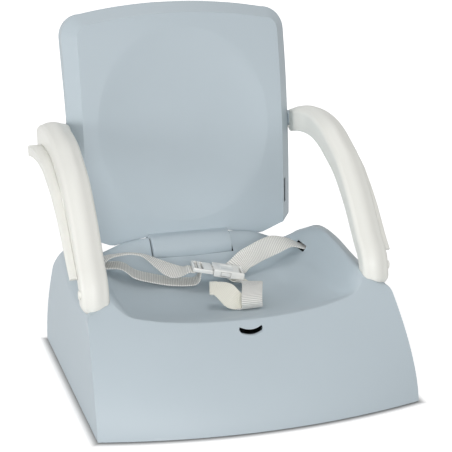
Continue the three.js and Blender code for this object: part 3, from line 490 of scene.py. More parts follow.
def tone_group():
    """A colour that drifts slightly over the piece and pales along worn edges."""
    name = "Tone and worn edges"
    if name in bpy.data.node_groups:
        return bpy.data.node_groups[name]
    tree, start, end = group_of(
        name,
        [("Color", "NodeSocketColor", (0.5, 0.5, 0.5, 1)), ("Drift", "NodeSocketFloat", 0.03),
         ("Scale", "NodeSocketFloat", 6.0), ("Wear", "NodeSocketFloat", 0.1)],
        [("Color", "NodeSocketColor")])
    place = tree.nodes.new("ShaderNodeTexCoord").outputs["Object"]
    cloud = noise(tree, place, start.outputs["Scale"], detail=5, roughness=0.6)
    level = maths(tree, "MULTIPLY_ADD", ranged(tree, cloud, 0.3, 0.7, -1.0, 1.0), start.outputs["Drift"], 1.0)
    tint = scaled(tree, start.outputs["Color"], level)
    edge = tree.nodes.new("ShaderNodeNewGeometry").outputs["Pointiness"]
    worn = maths(tree, "MULTIPLY", ranged(tree, edge, 0.53, 0.62), start.outputs["Wear"])
    pale = node_of(tree, "ShaderNodeMix", {0: worn, 6: tint, 7: WORN}, data_type="RGBA")
    feed(tree, pale.outputs[2], end.inputs["Color"])
    return tree


def rib_group():
    """Cross ribs and woven threads of narrow webbing, along the strap's own map in metres, with painted shade
    that darkens the colour in each rib's valley.
    """
    name = "Webbing ribs"
    if name in bpy.data.node_groups:
        return bpy.data.node_groups[name]
    tree, start, end = group_of(
        name,
        [("Color", "NodeSocketColor", (0.7, 0.7, 0.7, 1)), ("Pitch", "NodeSocketFloat", 0.0019),
         ("Depth", "NodeSocketFloat", 0.0004), ("Contrast", "NodeSocketFloat", 0.4)],
        [("Color", "NodeSocketColor"), ("Normal", "NodeSocketVector"), ("Roughness", "NodeSocketFloat")])
    place = node_of(tree, "ShaderNodeUVMap", {}, uv_map=STRAP_MAP).outputs[0]
    split = node_of(tree, "ShaderNodeSeparateXYZ", {0: place})
    turns = maths(tree, "DIVIDE", split.outputs["Y"], start.outputs["Pitch"])
    wave = maths(tree, "SINE", maths(tree, "MULTIPLY", turns, 2 * math.pi))
    rib = maths(tree, "MULTIPLY_ADD", wave, 0.5, 0.5)
    threads = maths(tree, "DIVIDE", split.outputs["X"], THREAD_PITCH)
    warp = maths(tree, "SINE", maths(tree, "MULTIPLY", threads, 2 * math.pi))
    weave = maths(tree, "MULTIPLY_ADD", maths(tree, "MULTIPLY", warp, wave), 0.16, rib)
    fluff = noise(tree, place, THREAD_SCALE)
    height = maths(tree, "MULTIPLY_ADD", fluff, 0.25, weave)
    feed(tree, bumped(tree, height, start.outputs["Depth"], RIB_STRENGTH), end.inputs["Normal"])
    # Painted shade: the colour darkens towards each rib's valley.
    valley = maths(tree, "MULTIPLY_ADD", maths(tree, "SUBTRACT", rib, 1.0), start.outputs["Contrast"], 1.0)
    shade = maths(tree, "MULTIPLY_ADD", fluff, 0.12, valley)
    feed(tree, scaled(tree, start.outputs["Color"], shade), end.inputs["Color"])
    feed(tree, maths(tree, "MULTIPLY_ADD", rib, -0.12, 0.88), end.inputs["Roughness"])
    return tree


def new_material(name):
    """A new material, its node tree and its shader."""
    material = bpy.data.materials.new(name)
    material.use_nodes = True
    return material, material.node_tree, material.node_tree.nodes["Principled BSDF"]


def moulded(name, colour, roughness, drift=0.015, wear=0.12, grain=900.0, depth=0.00002, coat=0.0):
    """Moulded plastic: tone and grain groups feed one shader."""
    if name in bpy.data.materials:
        return bpy.data.materials[name]
    material, tree, shader = new_material(name)
    values = {"Color": colour, "Drift": drift, "Wear": wear}
    tone = node_of(tree, "ShaderNodeGroup", values, node_tree=tone_group())
    values = {"Scale": grain, "Depth": depth, "Roughness": roughness}
    skin = node_of(tree, "ShaderNodeGroup", values, node_tree=grain_group())
    feed(tree, tone.outputs["Color"], shader.inputs["Base Color"])
    feed(tree, skin.outputs["Normal"], shader.inputs["Normal"])
    feed(tree, skin.outputs["Roughness"], shader.inputs["Roughness"])
    shader.inputs["Specular IOR Level"].default_value = PLASTIC_SPECULAR
    if coat:
        shader.inputs["Coat Weight"].default_value = coat
        shader.inputs["Coat Roughness"].default_value = COAT_ROUGHNESS
    return material


def shell_material():
    s = bpy.context.scene.booster_shell
    return moulded("Blue-grey moulding", tuple(s.colour), s.roughness)


def arm_material():
    s = bpy.context.scene.booster_arms
    return moulded("Warm white moulding", tuple(s.colour), s.roughness, drift=0.01, wear=0.05)


def buckle_material():
    s = bpy.context.scene.booster_belt
    return moulded("Glossy white buckle", tuple(s.buckle), 0.22, drift=0.01, wear=0.05,
                   depth=0.000005, coat=0.4)


def webbing_material(name="Ribbed webbing", depth=0.0004, valley_shade=0.4, colour=None):
    """Woven webbing, in the belt's colour unless another is given, with painted shade in its rib valleys."""
    if name in bpy.data.materials:
        return bpy.data.materials[name]
    s = bpy.context.scene.booster_belt
    material, tree, shader = new_material(name)
    values = {"Color": colour or tuple(s.webbing), "Pitch": s.rib, "Depth": depth, "Contrast": valley_shade}
    ribs = node_of(tree, "ShaderNodeGroup", values, node_tree=rib_group())
    for output, socket in (("Color", "Base Color"), ("Normal", "Normal"), ("Roughness", "Roughness")):
        feed(tree, ribs.outputs[output], shader.inputs[socket])
    shader.inputs["Sheen Weight"].default_value = SHEEN
    shader.inputs["Sheen Roughness"].default_value = 0.5
    return material


def rubber_material():
    return moulded("Dark rubber", RUBBER, 0.85, drift=0.05, wear=0.2, grain=600.0, depth=0.00004)


def steel_material():
    material = moulded("Zinc-plated steel", STEEL, 0.32, drift=0.05, wear=0.15, grain=500.0, depth=0.00001)
    material.node_tree.nodes["Principled BSDF"].inputs["Metallic"].default_value = 1.0
    return material


# Painted shade: a near-black moulding that stands in for the shadow inside narrow gaps.
def painted_gap_shade_material():
    return moulded("Deep gap", SHADOW, 0.9, drift=0.0, wear=0.0)


# Narrow gaps of the base: one at each end of the hinge barrel, and the slits that the belt comes out of.
# Their walls get painted shade.

CLEARANCE_LONG = 102.6
CLEARANCE_RADIUS = 19.9
SLIT_IN = 120.0
SLIT_OUT = 146.0
SLIT_HALF_WIDE = 13.2
SLIT_HALF_HIGH = 3.5
NEAR = 0.1


def shade_gap(obj):
    """Painted shade: gives the upright walls of the gaps at both ends of the hinge barrel a near-black
    material.
    """
    obj.data.materials.append(painted_gap_shade_material())
    hinge = Vector(placed(0, HINGE_Y, HINGE_Z))
    for face in obj.data.polygons:
        x = abs(face.center.x) / MM
        away = math.hypot(face.center.y - hinge.y, face.center.z - hinge.z) / MM
        beyond = x - CLEARANCE_LONG / 2
        if abs(face.normal.x) > 0.8 and -0.5 < beyond < 1.7 and away < CLEARANCE_RADIUS + 0.6:
            face.material_index = 1


def shade_slits(obj):
    """Painted shade: gives the walls of the slits that the lap belt comes out of a near-black material."""
    dark = list(obj.data.materials).index(painted_gap_shade_material())
    for face in obj.data.polygons:
        x, y, z = (v / MM for v in face.center)
        y -= placed(0, BELT_Y, 0)[1] / MM
        level = abs(y) < SLIT_HALF_WIDE + NEAR and abs(z - BELT_Z) < SLIT_HALF_HIGH + NEAR
        if SLIT_IN - 2 < abs(x) < SLIT_OUT and level and abs(face.normal.x) < 0.7:
            face.material_index = dark


# The base. Heights of its top are shares of HUMP, and their places are shares across and along the seat.

HALF = 180.0
DEPTH = 303.0
HUMP = 134.0
FRONT_TOP = 107.0
FRONT_BACK = 67.5
FRONT_CURVE = 1.6
BULGE = 25.0
EDGE = 16.0
EDGE_ALONG = [-0.28, -0.1, 0.25, 0.5]
EDGE_SHARE = [0.32, 0.4, 1, 1]
SIDE_LEAN = 10.0
REAR_LEAN = 11.0
REAR_ROUND = 4.0
SHARP = 0.01
TOP_WALL = 1.1
ACROSS = [-0.278, 0, 0.278, 0.5, 0.694, 0.79, 0.86, 1, 1.1]
ALONG = [-0.36, -0.28, -0.198, -0.066, 0.066, 0.198, 0.33, 0.419, 0.4785, 0.5]
MIDDLE = [0.738, 0.709, 0.65, 0.597, 0.582, 0.597, 0.657, 0.746, 0.903, 0.866]
INNER = [0.745, 0.718, 0.66, 0.604, 0.593, 0.612, 0.672, 0.754, 0.903, 0.866]
SEAT = [0.772, 0.745, 0.684, 0.634, 0.627, 0.649, 0.701, 0.761, 0.873, 0.836]
WALL = [0.8, 0.795, 0.745, 0.724, 0.739, 0.761, 0.776, 0.776, 0.791, 0.761]
RISING = [0.795, 0.83, 0.88, 0.875, 0.895, 0.915, 0.91, 0.866, 0.813, 0.784]
CREST = [0.79, 0.835, 0.93, 0.965, 1.005, 1.03, 0.975, 0.9, 0.847, 0.813]
OUTER = [0.785, 0.835, 0.835, 0.835, 0.87, 0.945, 0.99, 0.933, 0.851, 0.813]
TOP_ROWS = [INNER, MIDDLE, INNER, SEAT, WALL, RISING, CREST, OUTER, OUTER]


def top_height(x, y):
    """Height of the base's top over a place in the drawing."""
    heights = [through(ALONG, row, y / DEPTH) for row in TOP_ROWS]
    return HUMP * through(ACROSS, heights, abs(x) / HALF)


def front_at(x, z):
    """How far forward the bulging front face stands at a height."""
    side = abs(x) / HALF
    foot = -DEPTH / 2 - BULGE * (1 - side * side)
    top = -DEPTH / 2 + FRONT_BACK
    return top + (foot - top) * (1 - (max(z, 0) / FRONT_TOP) ** FRONT_CURVE)


def top_drop(x, y, inset):
    """How far the outer edge's rounding and the wall's thickness lower the top."""
    radius = EDGE * through(EDGE_ALONG, EDGE_SHARE, y / DEPTH)
    edge = max(0.0, abs(x) - (HALF - inset - radius))
    return radius - math.sqrt(max(0.0, radius ** 2 - edge ** 2)) + inset * TOP_WALL


def rim_height(x, inset):
    """Height at which the front face meets the top, found by halving."""
    low, high = 0.0, FRONT_TOP * 1.3
    for _ in range(30):
        z = (low + high) / 2
        y = front_at(x, z)
        if top_height(x, y) - top_drop(x, y, inset) > z:
            low = z
        else:
            high = z
    return low


def base_ring(x, inset, floor, soft, steps):
    """One profile of the base from its front foot over the rim to the rear foot."""
    rim = rim_height(x, inset)
    front = [(front_at(x, z) + inset, z) for z in np.linspace(max(floor, 0), rim, 40)]
    corner = front[-1]
    rear = DEPTH / 2 - inset
    top = [(y, top_height(x, y) - top_drop(x, y, inset)) for y in np.linspace(corner[0], rear, 60)]
    end = top[-1]
    rim_round = soft or SHARP
    rear_round = min(REAR_ROUND, rim_round)
    one = trimmed(front, 0, rim_round, steps[0])
    two = trimmed(top, rim_round, rear_round, steps[1])
    three = trimmed([end, (rear, floor)], rear_round, 0, steps[2])
    line = one + bend(one[-1], corner, two[0], 5) + two + bend(two[-1], end, three[0], 3) + three
    out = []
    for y, z in line:
        lean = SIDE_LEAN + REAR_LEAN * max(0.0, y / (DEPTH / 2)) ** 2
        out.append((x * (1 - lean / HALF * (z / HUMP) ** 2), y, z))
    out[0] = (out[0][0], out[0][1], floor)
    return out


def base_body(name, inset, floor, soft, columns, steps):
    """The base's outer form, or with an inset its hollow, closed at the sides and below."""
    rings = []
    for k in range(columns + 1):
        share = math.sin((k / columns * 2 - 1) * math.pi / 2)
        rings.append(base_ring(share * (HALF - inset), inset, floor, soft, steps))
    obj = sheet_of(name, rings)
    for ring in (rings[0], rings[-1]):
        marks = {tuple(round(c, 5) for c in placed(*p)) for p in ring}
        fill_open(obj, lambda co, m=marks: tuple(round(c, 5) for c in co) in m)
    return closed(obj, bpy.ops.mesh.edge_face_add, weld=0)


# The backrest: its lean, its outline and its dish. All lists of numbers here are shares.

BACK_HALF = 140.3
BACK_HIGH = 294.3
BACK_LEAN = 50.0
RISE = [0, 0.027, 0.156, 0.377, 0.564, 0.724, 0.873, 0.958, 1.02]
LEAN = [0.14, 0.14, 0.15, 0.24, 0.39, 0.56, 0.78, 0.92, 1.02]
BOTTOM_HIGH = 21.0
BOTTOM_ACROSS = [0, 0.36, 0.68, 0.78, 0.87, 1.001]
BOTTOM = [0.84, 0.74, 0.37, 0.64, 0.9, 1.15]
MIDDLE_SHARES = (0, 0.09, 0.18, 0.27, 0.34, 0.38, 0.46, 0.53, 0.6, 0.66)
SIDE_SHARES = (0.1, 0.3, 0.5, 0.7, 0.85, 0.95, 1)
CORNER = 27.0
CROWN = 10.5
BEVEL_WIDE = 15.0
BEVEL_DEEP = 22.0
PANEL_DROP = 10.5
SHELL = 2.6
DISH_HALF = 106.0
DISH_RISE = 117.0
DISH_Z = HINGE_Z + BACK_HIGH * 0.51
DISH_CURVE = 2.6
REAR_GAP = 9.0
REAR_SWELL = 13.0
SLOT_X = 129.0
SLOT_HALF = 1.7
SLOT_LOW = 148.0
SLOT_HIGH = 179.0
SIDE_STEPS = 28
CORNER_STEPS = 12
TOP_STEPS = 16
SCREW_X = 96.0
SCREW_SHARES = (0.22, 0.5, 0.79)


def lean_at(z):
    """How far back the panel lies at a height."""
    return HINGE_Y + BACK_LEAN * through(RISE, LEAN, (z - HINGE_Z) / BACK_HIGH)


def bottom_at(x):
    """Height of the backrest's curved lower edge."""
    share = min(abs(x) / BACK_HALF, 1.001)
    return HINGE_Z + BOTTOM_HIGH * float(np.interp(share, BOTTOM_ACROSS, BOTTOM))


def outline(half, corner, drop, lift):
    """The backrest's outline from the front, closed, with its points always in step."""

    def top(x):
        return HINGE_Z + BACK_HIGH - drop - CROWN * (x / (BACK_HALF - CORNER)) ** 2

    low = BACK_HALF * 0.68
    across = [BACK_HALF * s for s in MIDDLE_SHARES] + [low + (half - low) * s for s in SIDE_SHARES]
    points = [(x, bottom_at(x) + lift) for x in across]
    start = bottom_at(half) + lift
    shoulder = top(half - corner) - corner
    points += [(half, start + (shoulder - start) * i / SIDE_STEPS) for i in range(1, SIDE_STEPS)]
    for i in range(CORNER_STEPS + 1):
        turn = math.pi / 2 * i / CORNER_STEPS
        points.append((half - corner + corner * math.cos(turn), shoulder + corner * math.sin(turn)))
    for i in range(1, TOP_STEPS + 1):
        x = (half - corner) * (1 - i / TOP_STEPS)
        points.append((x, top(x)))
    return points + [(-x, z) for x, z in reversed(points[1:-1])]


FULL = outline(BACK_HALF, CORNER, 0, 0)


def dish_loop(share):
    """An oval round the dish's middle, with its points in step with the outline's."""
    out = []
    for x, z in FULL:
        turn = math.atan2((z - DISH_Z) / DISH_RISE, x / DISH_HALF)
        out.append((DISH_HALF * share * math.cos(turn), DISH_Z + DISH_RISE * share * math.sin(turn)))
    return out


def mixed(a, b, t):
    """The loop that lies a share of the way from one loop to another."""
    return [((1 - t) * p[0] + t * q[0], (1 - t) * p[1] + t * q[1]) for p, q in zip(a, b)]


def raised(loop, depth):
    """A loop put on the leaning panel, as far behind it as the depth says."""
    return [(x, lean_at(z) + depth(x, z), z) for x, z in loop]


def rear_depth(z):
    """How far the cover's back stands behind the panel."""
    swell = smooth(HINGE_Z + BACK_HIGH * 0.5, HINGE_Z + BACK_HIGH * 0.87, z)
    return BEVEL_DEEP + REAR_GAP + REAR_SWELL * swell


SCREWS = [(side * SCREW_X, HINGE_Z + BACK_HIGH * share) for share in SCREW_SHARES for side in (1, -1)]


def side_slots():
    """Bars that cut the long slot beside each upright edge of the backrest, as one tool."""
    y = lean_at(SLOT_LOW)
    low, high = (SLOT_X - SLOT_HALF, y - 11, SLOT_LOW), (SLOT_X + SLOT_HALF, y + 44, SLOT_HIGH)
    return joined([rounded(beside("side_slots", side, low, high), 1.2 * MM, 3, 60) for side in (1, -1)])


# The arms. ARM_ALONG and ARM_UP are shares of the way from the foot to the end, level and upright.

ARM_MIDDLE = 161.0
ARM_WIDE = 31.0
ARM_DEEP = 27.0
ARM_FACE = ARM_MIDDLE + ARM_WIDE / 2
ARM_RISE = 137.0
ARM_END_Y = HINGE_Y + 42
ARM_STEP = 1.5
FLARE = 4.3
FOOT_Y = -61.0
FOOT_SUNK = 12.785
FOOT_Z = top_height(ARM_MIDDLE, FOOT_Y) - FOOT_SUNK
FOOT_CAP = 13.0
FOOT_SHARE = 0.7
END_SHARE = 1.07
FRONT_CROWN = 2.6
TENON_HALF_WIDE = 7.0
TENON_HALF_LONG = 5.0
TENON_DEEP = 9.0
PLAY = 0.3
CATCH_Y = -60.0
CATCH_Z = 130.5
PIVOT_Y = 190.0
PIVOT_Z = 249.0
TINY = 1e-9
ARM_ALONG = [0, 0.003, 0.03, 0.085, 0.157, 0.206, 0.286, 0.379, 0.488, 0.585, 0.71, 0.875, 1]
ARM_UP = [0.02, 0.12, 0.24, 0.34, 0.49, 0.59, 0.726, 0.854, 0.945, 1.015, 1.055, 1.05, 1]


def arm_line():
    """Even points along the arm's middle line, as (y, z), on a centripetal curve through its shares."""
    pts = [np.array([FOOT_Y + (ARM_END_Y - FOOT_Y) * a, FOOT_Z + ARM_RISE * u])
           for a, u in zip(ARM_ALONG, ARM_UP)]
    pts = [2 * pts[0] - pts[1]] + pts + [2 * pts[-1] - pts[-2]]
    line = []
    for k in range(1, len(pts) - 2):
        p0, p1, p2, p3 = pts[k - 1:k + 3]
        t0 = 0.0
        t1 = t0 + max(np.linalg.norm(p1 - p0), TINY) ** 0.5
        t2 = t1 + max(np.linalg.norm(p2 - p1), TINY) ** 0.5
        t3 = t2 + max(np.linalg.norm(p3 - p2), TINY) ** 0.5
        for t in np.linspace(t1, t2, 24, endpoint=False):
            a1 = (t1 - t) / (t1 - t0) * p0 + (t - t0) / (t1 - t0) * p1
            a2 = (t2 - t) / (t2 - t1) * p1 + (t - t1) / (t2 - t1) * p2
            a3 = (t3 - t) / (t3 - t2) * p2 + (t - t2) / (t3 - t2) * p3
            b1 = (t2 - t) / (t2 - t0) * a1 + (t - t0) / (t2 - t0) * a2
            b2 = (t3 - t) / (t3 - t1) * a2 + (t - t1) / (t3 - t1) * a3
            line.append((t2 - t) / (t2 - t1) * b1 + (t - t1) / (t2 - t1) * b2)
    line.append(pts[-2])
    return np.array(line)


ARM_LINE = arm_line()
ARM_RUN = lengths(ARM_LINE)


def arm_frame(u):
    """Middle, direction and outward normal of the arm at a share of its length, in (y, z)."""

    def on_line(at):
        return np.array([np.interp(at, ARM_RUN, ARM_LINE[:, k]) for k in (0, 1)])

    at = u * ARM_RUN[-1]
    t = on_line(min(at + ARM_STEP, ARM_RUN[-1])) - on_line(max(at - ARM_STEP, 0))
    t = t / np.linalg.norm(t)
    return on_line(at), t, np.array([-t[1], t[0]])


def arm_section(width, depth):
    """Outline across the arm, as (across, outward): soft and crowned in front, tighter behind."""
    a, d = width / 2, depth / 2
    front, rear = min(6.5, a * 0.8, d * 0.8), min(3.0, a * 0.4, d * 0.4)
    points = []

    def corner(x, n, radius, start, steps):
        for i in range(steps + 1):
            turn = start + math.pi / 2 * i / steps
            points.append((x + radius * math.cos(turn), n + radius * math.sin(turn)))

    corner(a - front, d - front, front, 0, 8)
    for s in (0.66, 0.33, 0, -0.33, -0.66):
        points.append(((a - front) * s, d + FRONT_CROWN * (1 - s * s)))
    corner(front - a, d - front, front, math.pi / 2, 8)
    for s in (0.5, 0, -0.5):
        points.append((-a, (d - front + d - rear) / 2 * s))
    corner(rear - a, rear - d, rear, math.pi, 5)
    for s in (-0.6, -0.2, 0.2, 0.6):
        points.append(((a - rear) * s, -d))
    corner(a - rear, rear - d, rear, math.pi * 1.5, 5)
    for s in (-0.5, 0, 0.5):
        points.append((a, (d - front + d - rear) / 2 * s))
    return points


def arm_ring(frame_at, shift, width, depth, flare=0.0):
    """A ring of the arm's outline, whose inner side may flare towards the backrest."""
    here, t, n = frame_at
    middle = here + t * shift
    ring = []
    for a, k in arm_section(width, depth):
        inward = flare * 2 * a / width if a < 0 else 0
        ring.append((ARM_MIDDLE + a + inward, middle[0] + n[0] * k, middle[1] + n[1] * k))
    return ring


def arm_rings():
    """Rings along the whole arm, with a rounded foot and a rounded upper end."""
    rings = []
    foot = arm_frame(0)
    deep = ARM_DEEP * FOOT_SHARE
    for turn in np.linspace(8, 88, 12):
        s = 1 - math.cos(math.radians(turn))
        narrow = math.sqrt(max(0.0, 1 - (1 - s) ** 2))
        shift = -FOOT_CAP * (1 - s) + FOOT_CAP * 0.6
        rings.append(arm_ring(foot, shift, ARM_WIDE * narrow, deep * (0.35 + 0.65 * narrow)))
    for i in range(4, 65):
        u = i / 64
        depth = ARM_DEEP * through([0, 0.25, 0.5, 0.7, 1], [FOOT_SHARE, 0.76, 0.94, 1, END_SHARE], u)
        rings.append(arm_ring(arm_frame(u), 0, ARM_WIDE, depth, FLARE * smooth(0.8, 0.93, u)))
    end = arm_frame(1)
    reach = ARM_DEEP * END_SHARE / 2
    for turn in np.linspace(8, 84, 10):
        s, thin = math.sin(math.radians(turn)), math.cos(math.radians(turn))
        rings.append(arm_ring(end, reach * s, ARM_WIDE * (0.85 + 0.15 * thin), 2 * reach * thin, FLARE))
    return pointed(rings)


def rail_rings():
    """Rings along the thin rail on the arm's outer side, an upside-down channel that widens upward."""
    rings = []
    inner = ARM_WIDE / 2 + PLAY
    for i in range(49):
        up = i / 48
        here, t, n = arm_frame(0.12 + 0.81 * up)
        outer = inner + 8 + 5 * up + 2.5 * up ** 6
        drop = 9 * min(1.0, 0.2 + 2 * up)
        lip = 4 + 9 * up
        points = [(inner, -4), (inner, 0), (outer - 2, 0), (outer, -1), (outer, -lip), (outer - 2, -lip),
                  (outer - 2, -4)]
        rings.append([(ARM_MIDDLE + a, here[0] + n[0] * (k - drop), here[1] + n[1] * (k - drop))
                      for a, k in points])
    return rings


def oval_bar(name, radius, high, length, x):
    """A bar across the seat at the catch's place, stretched upright to an oval."""
    obj = round_bar(name, radius, length, (x, CATCH_Y, CATCH_Z), "X", 40)
    for v in obj.data.vertices:
        v.co.z = (v.co.z - CATCH_Z * MM) * (high / radius) + CATCH_Z * MM
    return obj


# The lap belt. The buckle's own frame has x along it, y across it and z up, with its middle at BUCKLE_AT.

STRAP_WIDE = 25.0
STRAP_THICK = 1.6
BELT_Y = 88.0
BELT_SHARE = 0.489
BELT_Z = top_height(120, BELT_Y) + 10.5
ALONG_B = Vector((1, -0.167, -0.2)).normalized()
ACROSS_B = Vector((0.167, 1, 0)).normalized()
UP_B = ALONG_B.cross(ACROSS_B)
BUCKLE_AT = Vector((13, 66, top_height(13, 66) + 18))
HEAD_ACROSS = math.degrees(math.atan2(ACROSS_B.y, ACROSS_B.x))
HEAD_ALONG = math.degrees(math.atan2(ALONG_B.y, ALONG_B.x))
TILT_ALONG = math.degrees(math.asin(ALONG_B.z))
TAIL_HEM = 1.3
WEB_STEPS = 8

# The buckle's sizes: half its length and width, half heights, its bars and the slots beside them

END = 31.0
SIDE = 15.3
SOCKET_HIGH = 4.5
PRONG_HIGH = 2.2
BAR, GAP, BAR_HIGH, BAR_LOW = 2.6, 3.6, 2.5, 3.0
OPEN = STRAP_WIDE / 2 + 0.6
THROUGH = 8.0
SLOT_END = END - BAR - GAP * 0.55
OVER = BAR_HIGH + STRAP_THICK * 1.15


def in_buckle(x, y, z):
    """A point of the buckle's own frame as a point of the drawing."""
    return BUCKLE_AT + ALONG_B * x + ACROSS_B * y + UP_B * z


def row_on(across, along, lift, heading, tilt):
    """A row over the seat: its middle in shares, its lift in strap widths, and its turns in degrees."""
    x, y = across * HALF, BELT_Y + HALF * (along - BELT_SHARE)
    return (Vector((x, y, top_height(x, y) + lift * STRAP_WIDE)), heading, tilt)


def row_at(x, z):
    """A level row in one of the base's slits."""
    return (Vector((x, BELT_Y, z)), 90, 0)


def row_in(x, z):
    """A row in the buckle's tongue."""
    return (in_buckle(x, 0, z), HEAD_ACROSS, 0)


def row_by(along, across, up, heading, tilt):
    """A row beside the socket, in shares of its half length and half width."""
    return (in_buckle(END * along, SIDE * across, SIDE * up), heading, tilt)


STRAPS = {
    "strap_right": [
        row_at(136.7, BELT_Z), row_at(127, BELT_Z), row_on(0.628, 0.489, 0.76, 84, 6),
        row_on(0.563, 0.489, 0.93, 90, 25), row_on(0.505, 0.489, 0.97, 100, 50),
        row_on(0.452, 0.486, 0.94, 109, 62), row_on(0.4, 0.478, 0.88, 113, 62),
        row_on(0.343, 0.469, 0.77, 116, 54), row_on(0.289, 0.46, 0.65, 122, 44),
        row_by(0.9, 1.27, 0.15, 136, 34), row_by(0.73, 1.24, -0.2, 154, 22),
        row_by(0.68, 0.9, -0.43, 166, 13),
        (in_buckle(END * 0.74, BAR * 0.6, -SOCKET_HIGH - STRAP_THICK * 0.7), 170.5, 11.2)],
    "strap_left_upper": [
        row_at(-136.7, BELT_Z + 1.3), row_at(-127, BELT_Z + 1.3), row_on(-0.65, 0.489, 0.78, 86, -6),
        row_on(-0.588, 0.489, 1.04, 80, -12), row_on(-0.501, 0.478, 1.26, 77, -14),
        row_on(-0.444, 0.467, 1.31, 75, -14), row_on(-0.4, 0.461, 1.26, 70, -12),
        row_on(-0.355, 0.456, 1.1, 64, -7), row_on(-0.306, 0.444, 0.9, 60, 3),
        row_on(-0.254, 0.433, 0.7, 58, 14), row_on(-0.2, 0.422, 0.58, 62, 18),
        row_on(-0.156, 0.411, 0.62, 70, 8), row_in(-END - BAR * 1.3, -OVER),
        row_in(BAR * 0.2 - END, -OVER), row_in(BAR * 1.2 - END, -OVER * 0.87),
        row_in(-SLOT_END, -BAR_HIGH * 0.75), row_in(-SLOT_END, BAR_LOW / 2)],
    "strap_left_lower": [
        row_at(-136.7, BELT_Z - 1.3), row_at(-127, BELT_Z - 1.3), row_on(-0.556, 0.483, 0.59, 80, 3),
        row_on(-0.461, 0.456, 0.34, 76, 6), row_on(-0.328, 0.433, 0.2, 76, 6),
        row_on(-0.23, 0.411, 0.15, 75, 6), row_on(-0.128, 0.4, 0.13, 77, 4),
        row_on(-0.078, 0.394, 0.16, 80, 2), row_in(-20.4, -13.5), row_in(-20.4, -7.2),
        row_in(-20.4, 0)],
    "strap_tail": [
        (in_buckle(END * 0.74, -BAR, -SOCKET_HIGH - STRAP_THICK), HEAD_ALONG, TILT_ALONG),
        row_on(0.217, 0.267, 0.25, -11, -9), row_on(0.233, 0.205, 0.46, -10, -5),
        row_on(0.222, 0.083, 0.75, -5, 0), row_on(0.183, -0.044, 0.89, 0, 0),
        row_on(0.15, -0.139, 0.69, 0, 0), row_on(0.139, -0.175, 0.37, 0, 0),
        row_on(0.144, -0.161, 0.11, 0, 0), row_on(0.115, -0.139, 0.08, 8, 2),
        row_on(0.072, -0.119, 0.24, 14, 14), row_on(0.034, -0.089, 0.5, 18, 30),
        row_on(0.012, -0.05, 0.7, 24, 36), row_on(-0.01, -0.017, 0.8, 42, 27),
        row_on(-0.035, 0.008, 0.84, 56, 18), row_on(-0.079, 0.03, 0.84, 74, 11)],
}


def strap_section():
    """Outline across a strap, as (across, out of its face), with softened edges."""
    w, t = STRAP_WIDE / 2, STRAP_THICK / 2
    edge, face = w - 0.35, w - 1.2
    return [(w, 0), (edge, t * 0.8), (face, t), (0, t), (-face, t), (-edge, t * 0.8),
            (-w, 0), (-edge, -t * 0.8), (-face, -t), (0, -t), (face, -t), (edge, -t * 0.8)]


def webbing(name, rows, hem):
    """A flat strap along rows of (middle, heading, tilt), with a map in metres across and along it.

    The hem is the thickness that its last stretch gains, as a share of the strap's own."""
    stations = list(range(len(rows)))
    last_row = len(rows) - 1

    def value(key, at):
        return through(stations, [key(r) for r in rows], at)

    def middle(at):
        at = min(max(at, 0), last_row)
        return Vector([value(lambda r, k=k: r[0][k], at) for k in range(3)])

    section = strap_section()
    rings, runs, run, last = [], [], 0.0, None
    for i in range(last_row * WEB_STEPS + 1):
        at = i / WEB_STEPS
        heading = math.radians(value(lambda r: r[1], at))
        tilt = math.radians(value(lambda r: r[2], at))
        across = Vector((math.cos(heading) * math.cos(tilt), math.sin(heading) * math.cos(tilt),
                         math.sin(tilt)))
        travel = middle(at + 0.05) - middle(at - 0.05)
        travel = (travel - across * travel.dot(across)).normalized()
        face = across.cross(travel)
        here = middle(at)
        run += (here - last).length if last else 0.0
        last = here
        thick = 1 + hem * smooth(last_row - 0.75, last_row - 0.6, at)
        rings.append([tuple(here + across * a + face * b * thick) for a, b in section])
        runs.append(run)
    obj = sheet_of(name, rings, wrap=True)
    layer = obj.data.uv_layers[0] if obj.data.uv_layers else obj.data.uv_layers.new()
    layer.name = STRAP_MAP
    around = [a for a, _ in section] + [section[0][0]]
    for loop in obj.data.loops:
        row, col = divmod(loop.vertex_index, len(around))
        layer.data[loop.index].uv = (around[col] * MM, runs[row] * MM)
    return closed(obj, bpy.ops.mesh.fill)


# The stage, as the photograph shows it. Lamps have their places and sizes in metres and their power in
# watts. LAMP_AIM, PATCH_Y, CAMERA_FAR and CAMERA_AIM are in the drawing's millimetres.

LAMPS = (
    ("lamp_front", (-0.5, -2.5, 0.85), 1.1, 28.0),
    ("lamp_left", (-2.4, -0.5, 0.6), 0.9, 21.0),
    ("lamp_right", (1.2, -2.4, 0.7), 0.9, 4.0),
    ("lamp_top", (0.3, 0.7, 2.3), 0.9, 9.0))
LAMP_AIM = (0, 0, 150)
WORLD_STRENGTH = 0.33
WHITE = (1, 1, 1, 1)
FLOOR_SIZE = 12.0
FLOOR_GREY = 0.55
GLOW_FROM, GLOW_TO = 0.3, 0.8
GLOW_NEAR = 0.72
PATCH_Y = -12.5
PATCH_SIZE = (0.181, 0.165, 1)
PATCH_BULGE = 0.152
PATCH_EDGE = (0.99, 1.055)
CAMERA_TURN = 16.8
CAMERA_LIFT = 17.2
CAMERA_FAR = 1549.0
CAMERA_AIM = (-3.3, -23.5, 181.4)
FOCAL_PIXELS = 1393.0
PHOTO_WIDE = 452.0
SENSOR_WIDE = 36.0


def seen_or_mirrored(tree):
    """1 where the camera sees the background straight, mirrored or through glass, else 0."""
    path = tree.nodes.new("ShaderNodeLightPath").outputs
    seen = maths(tree, "MAXIMUM", path["Is Camera Ray"], path["Is Glossy Ray"])
    return maths(tree, "MAXIMUM", seen, path["Is Transmission Ray"])


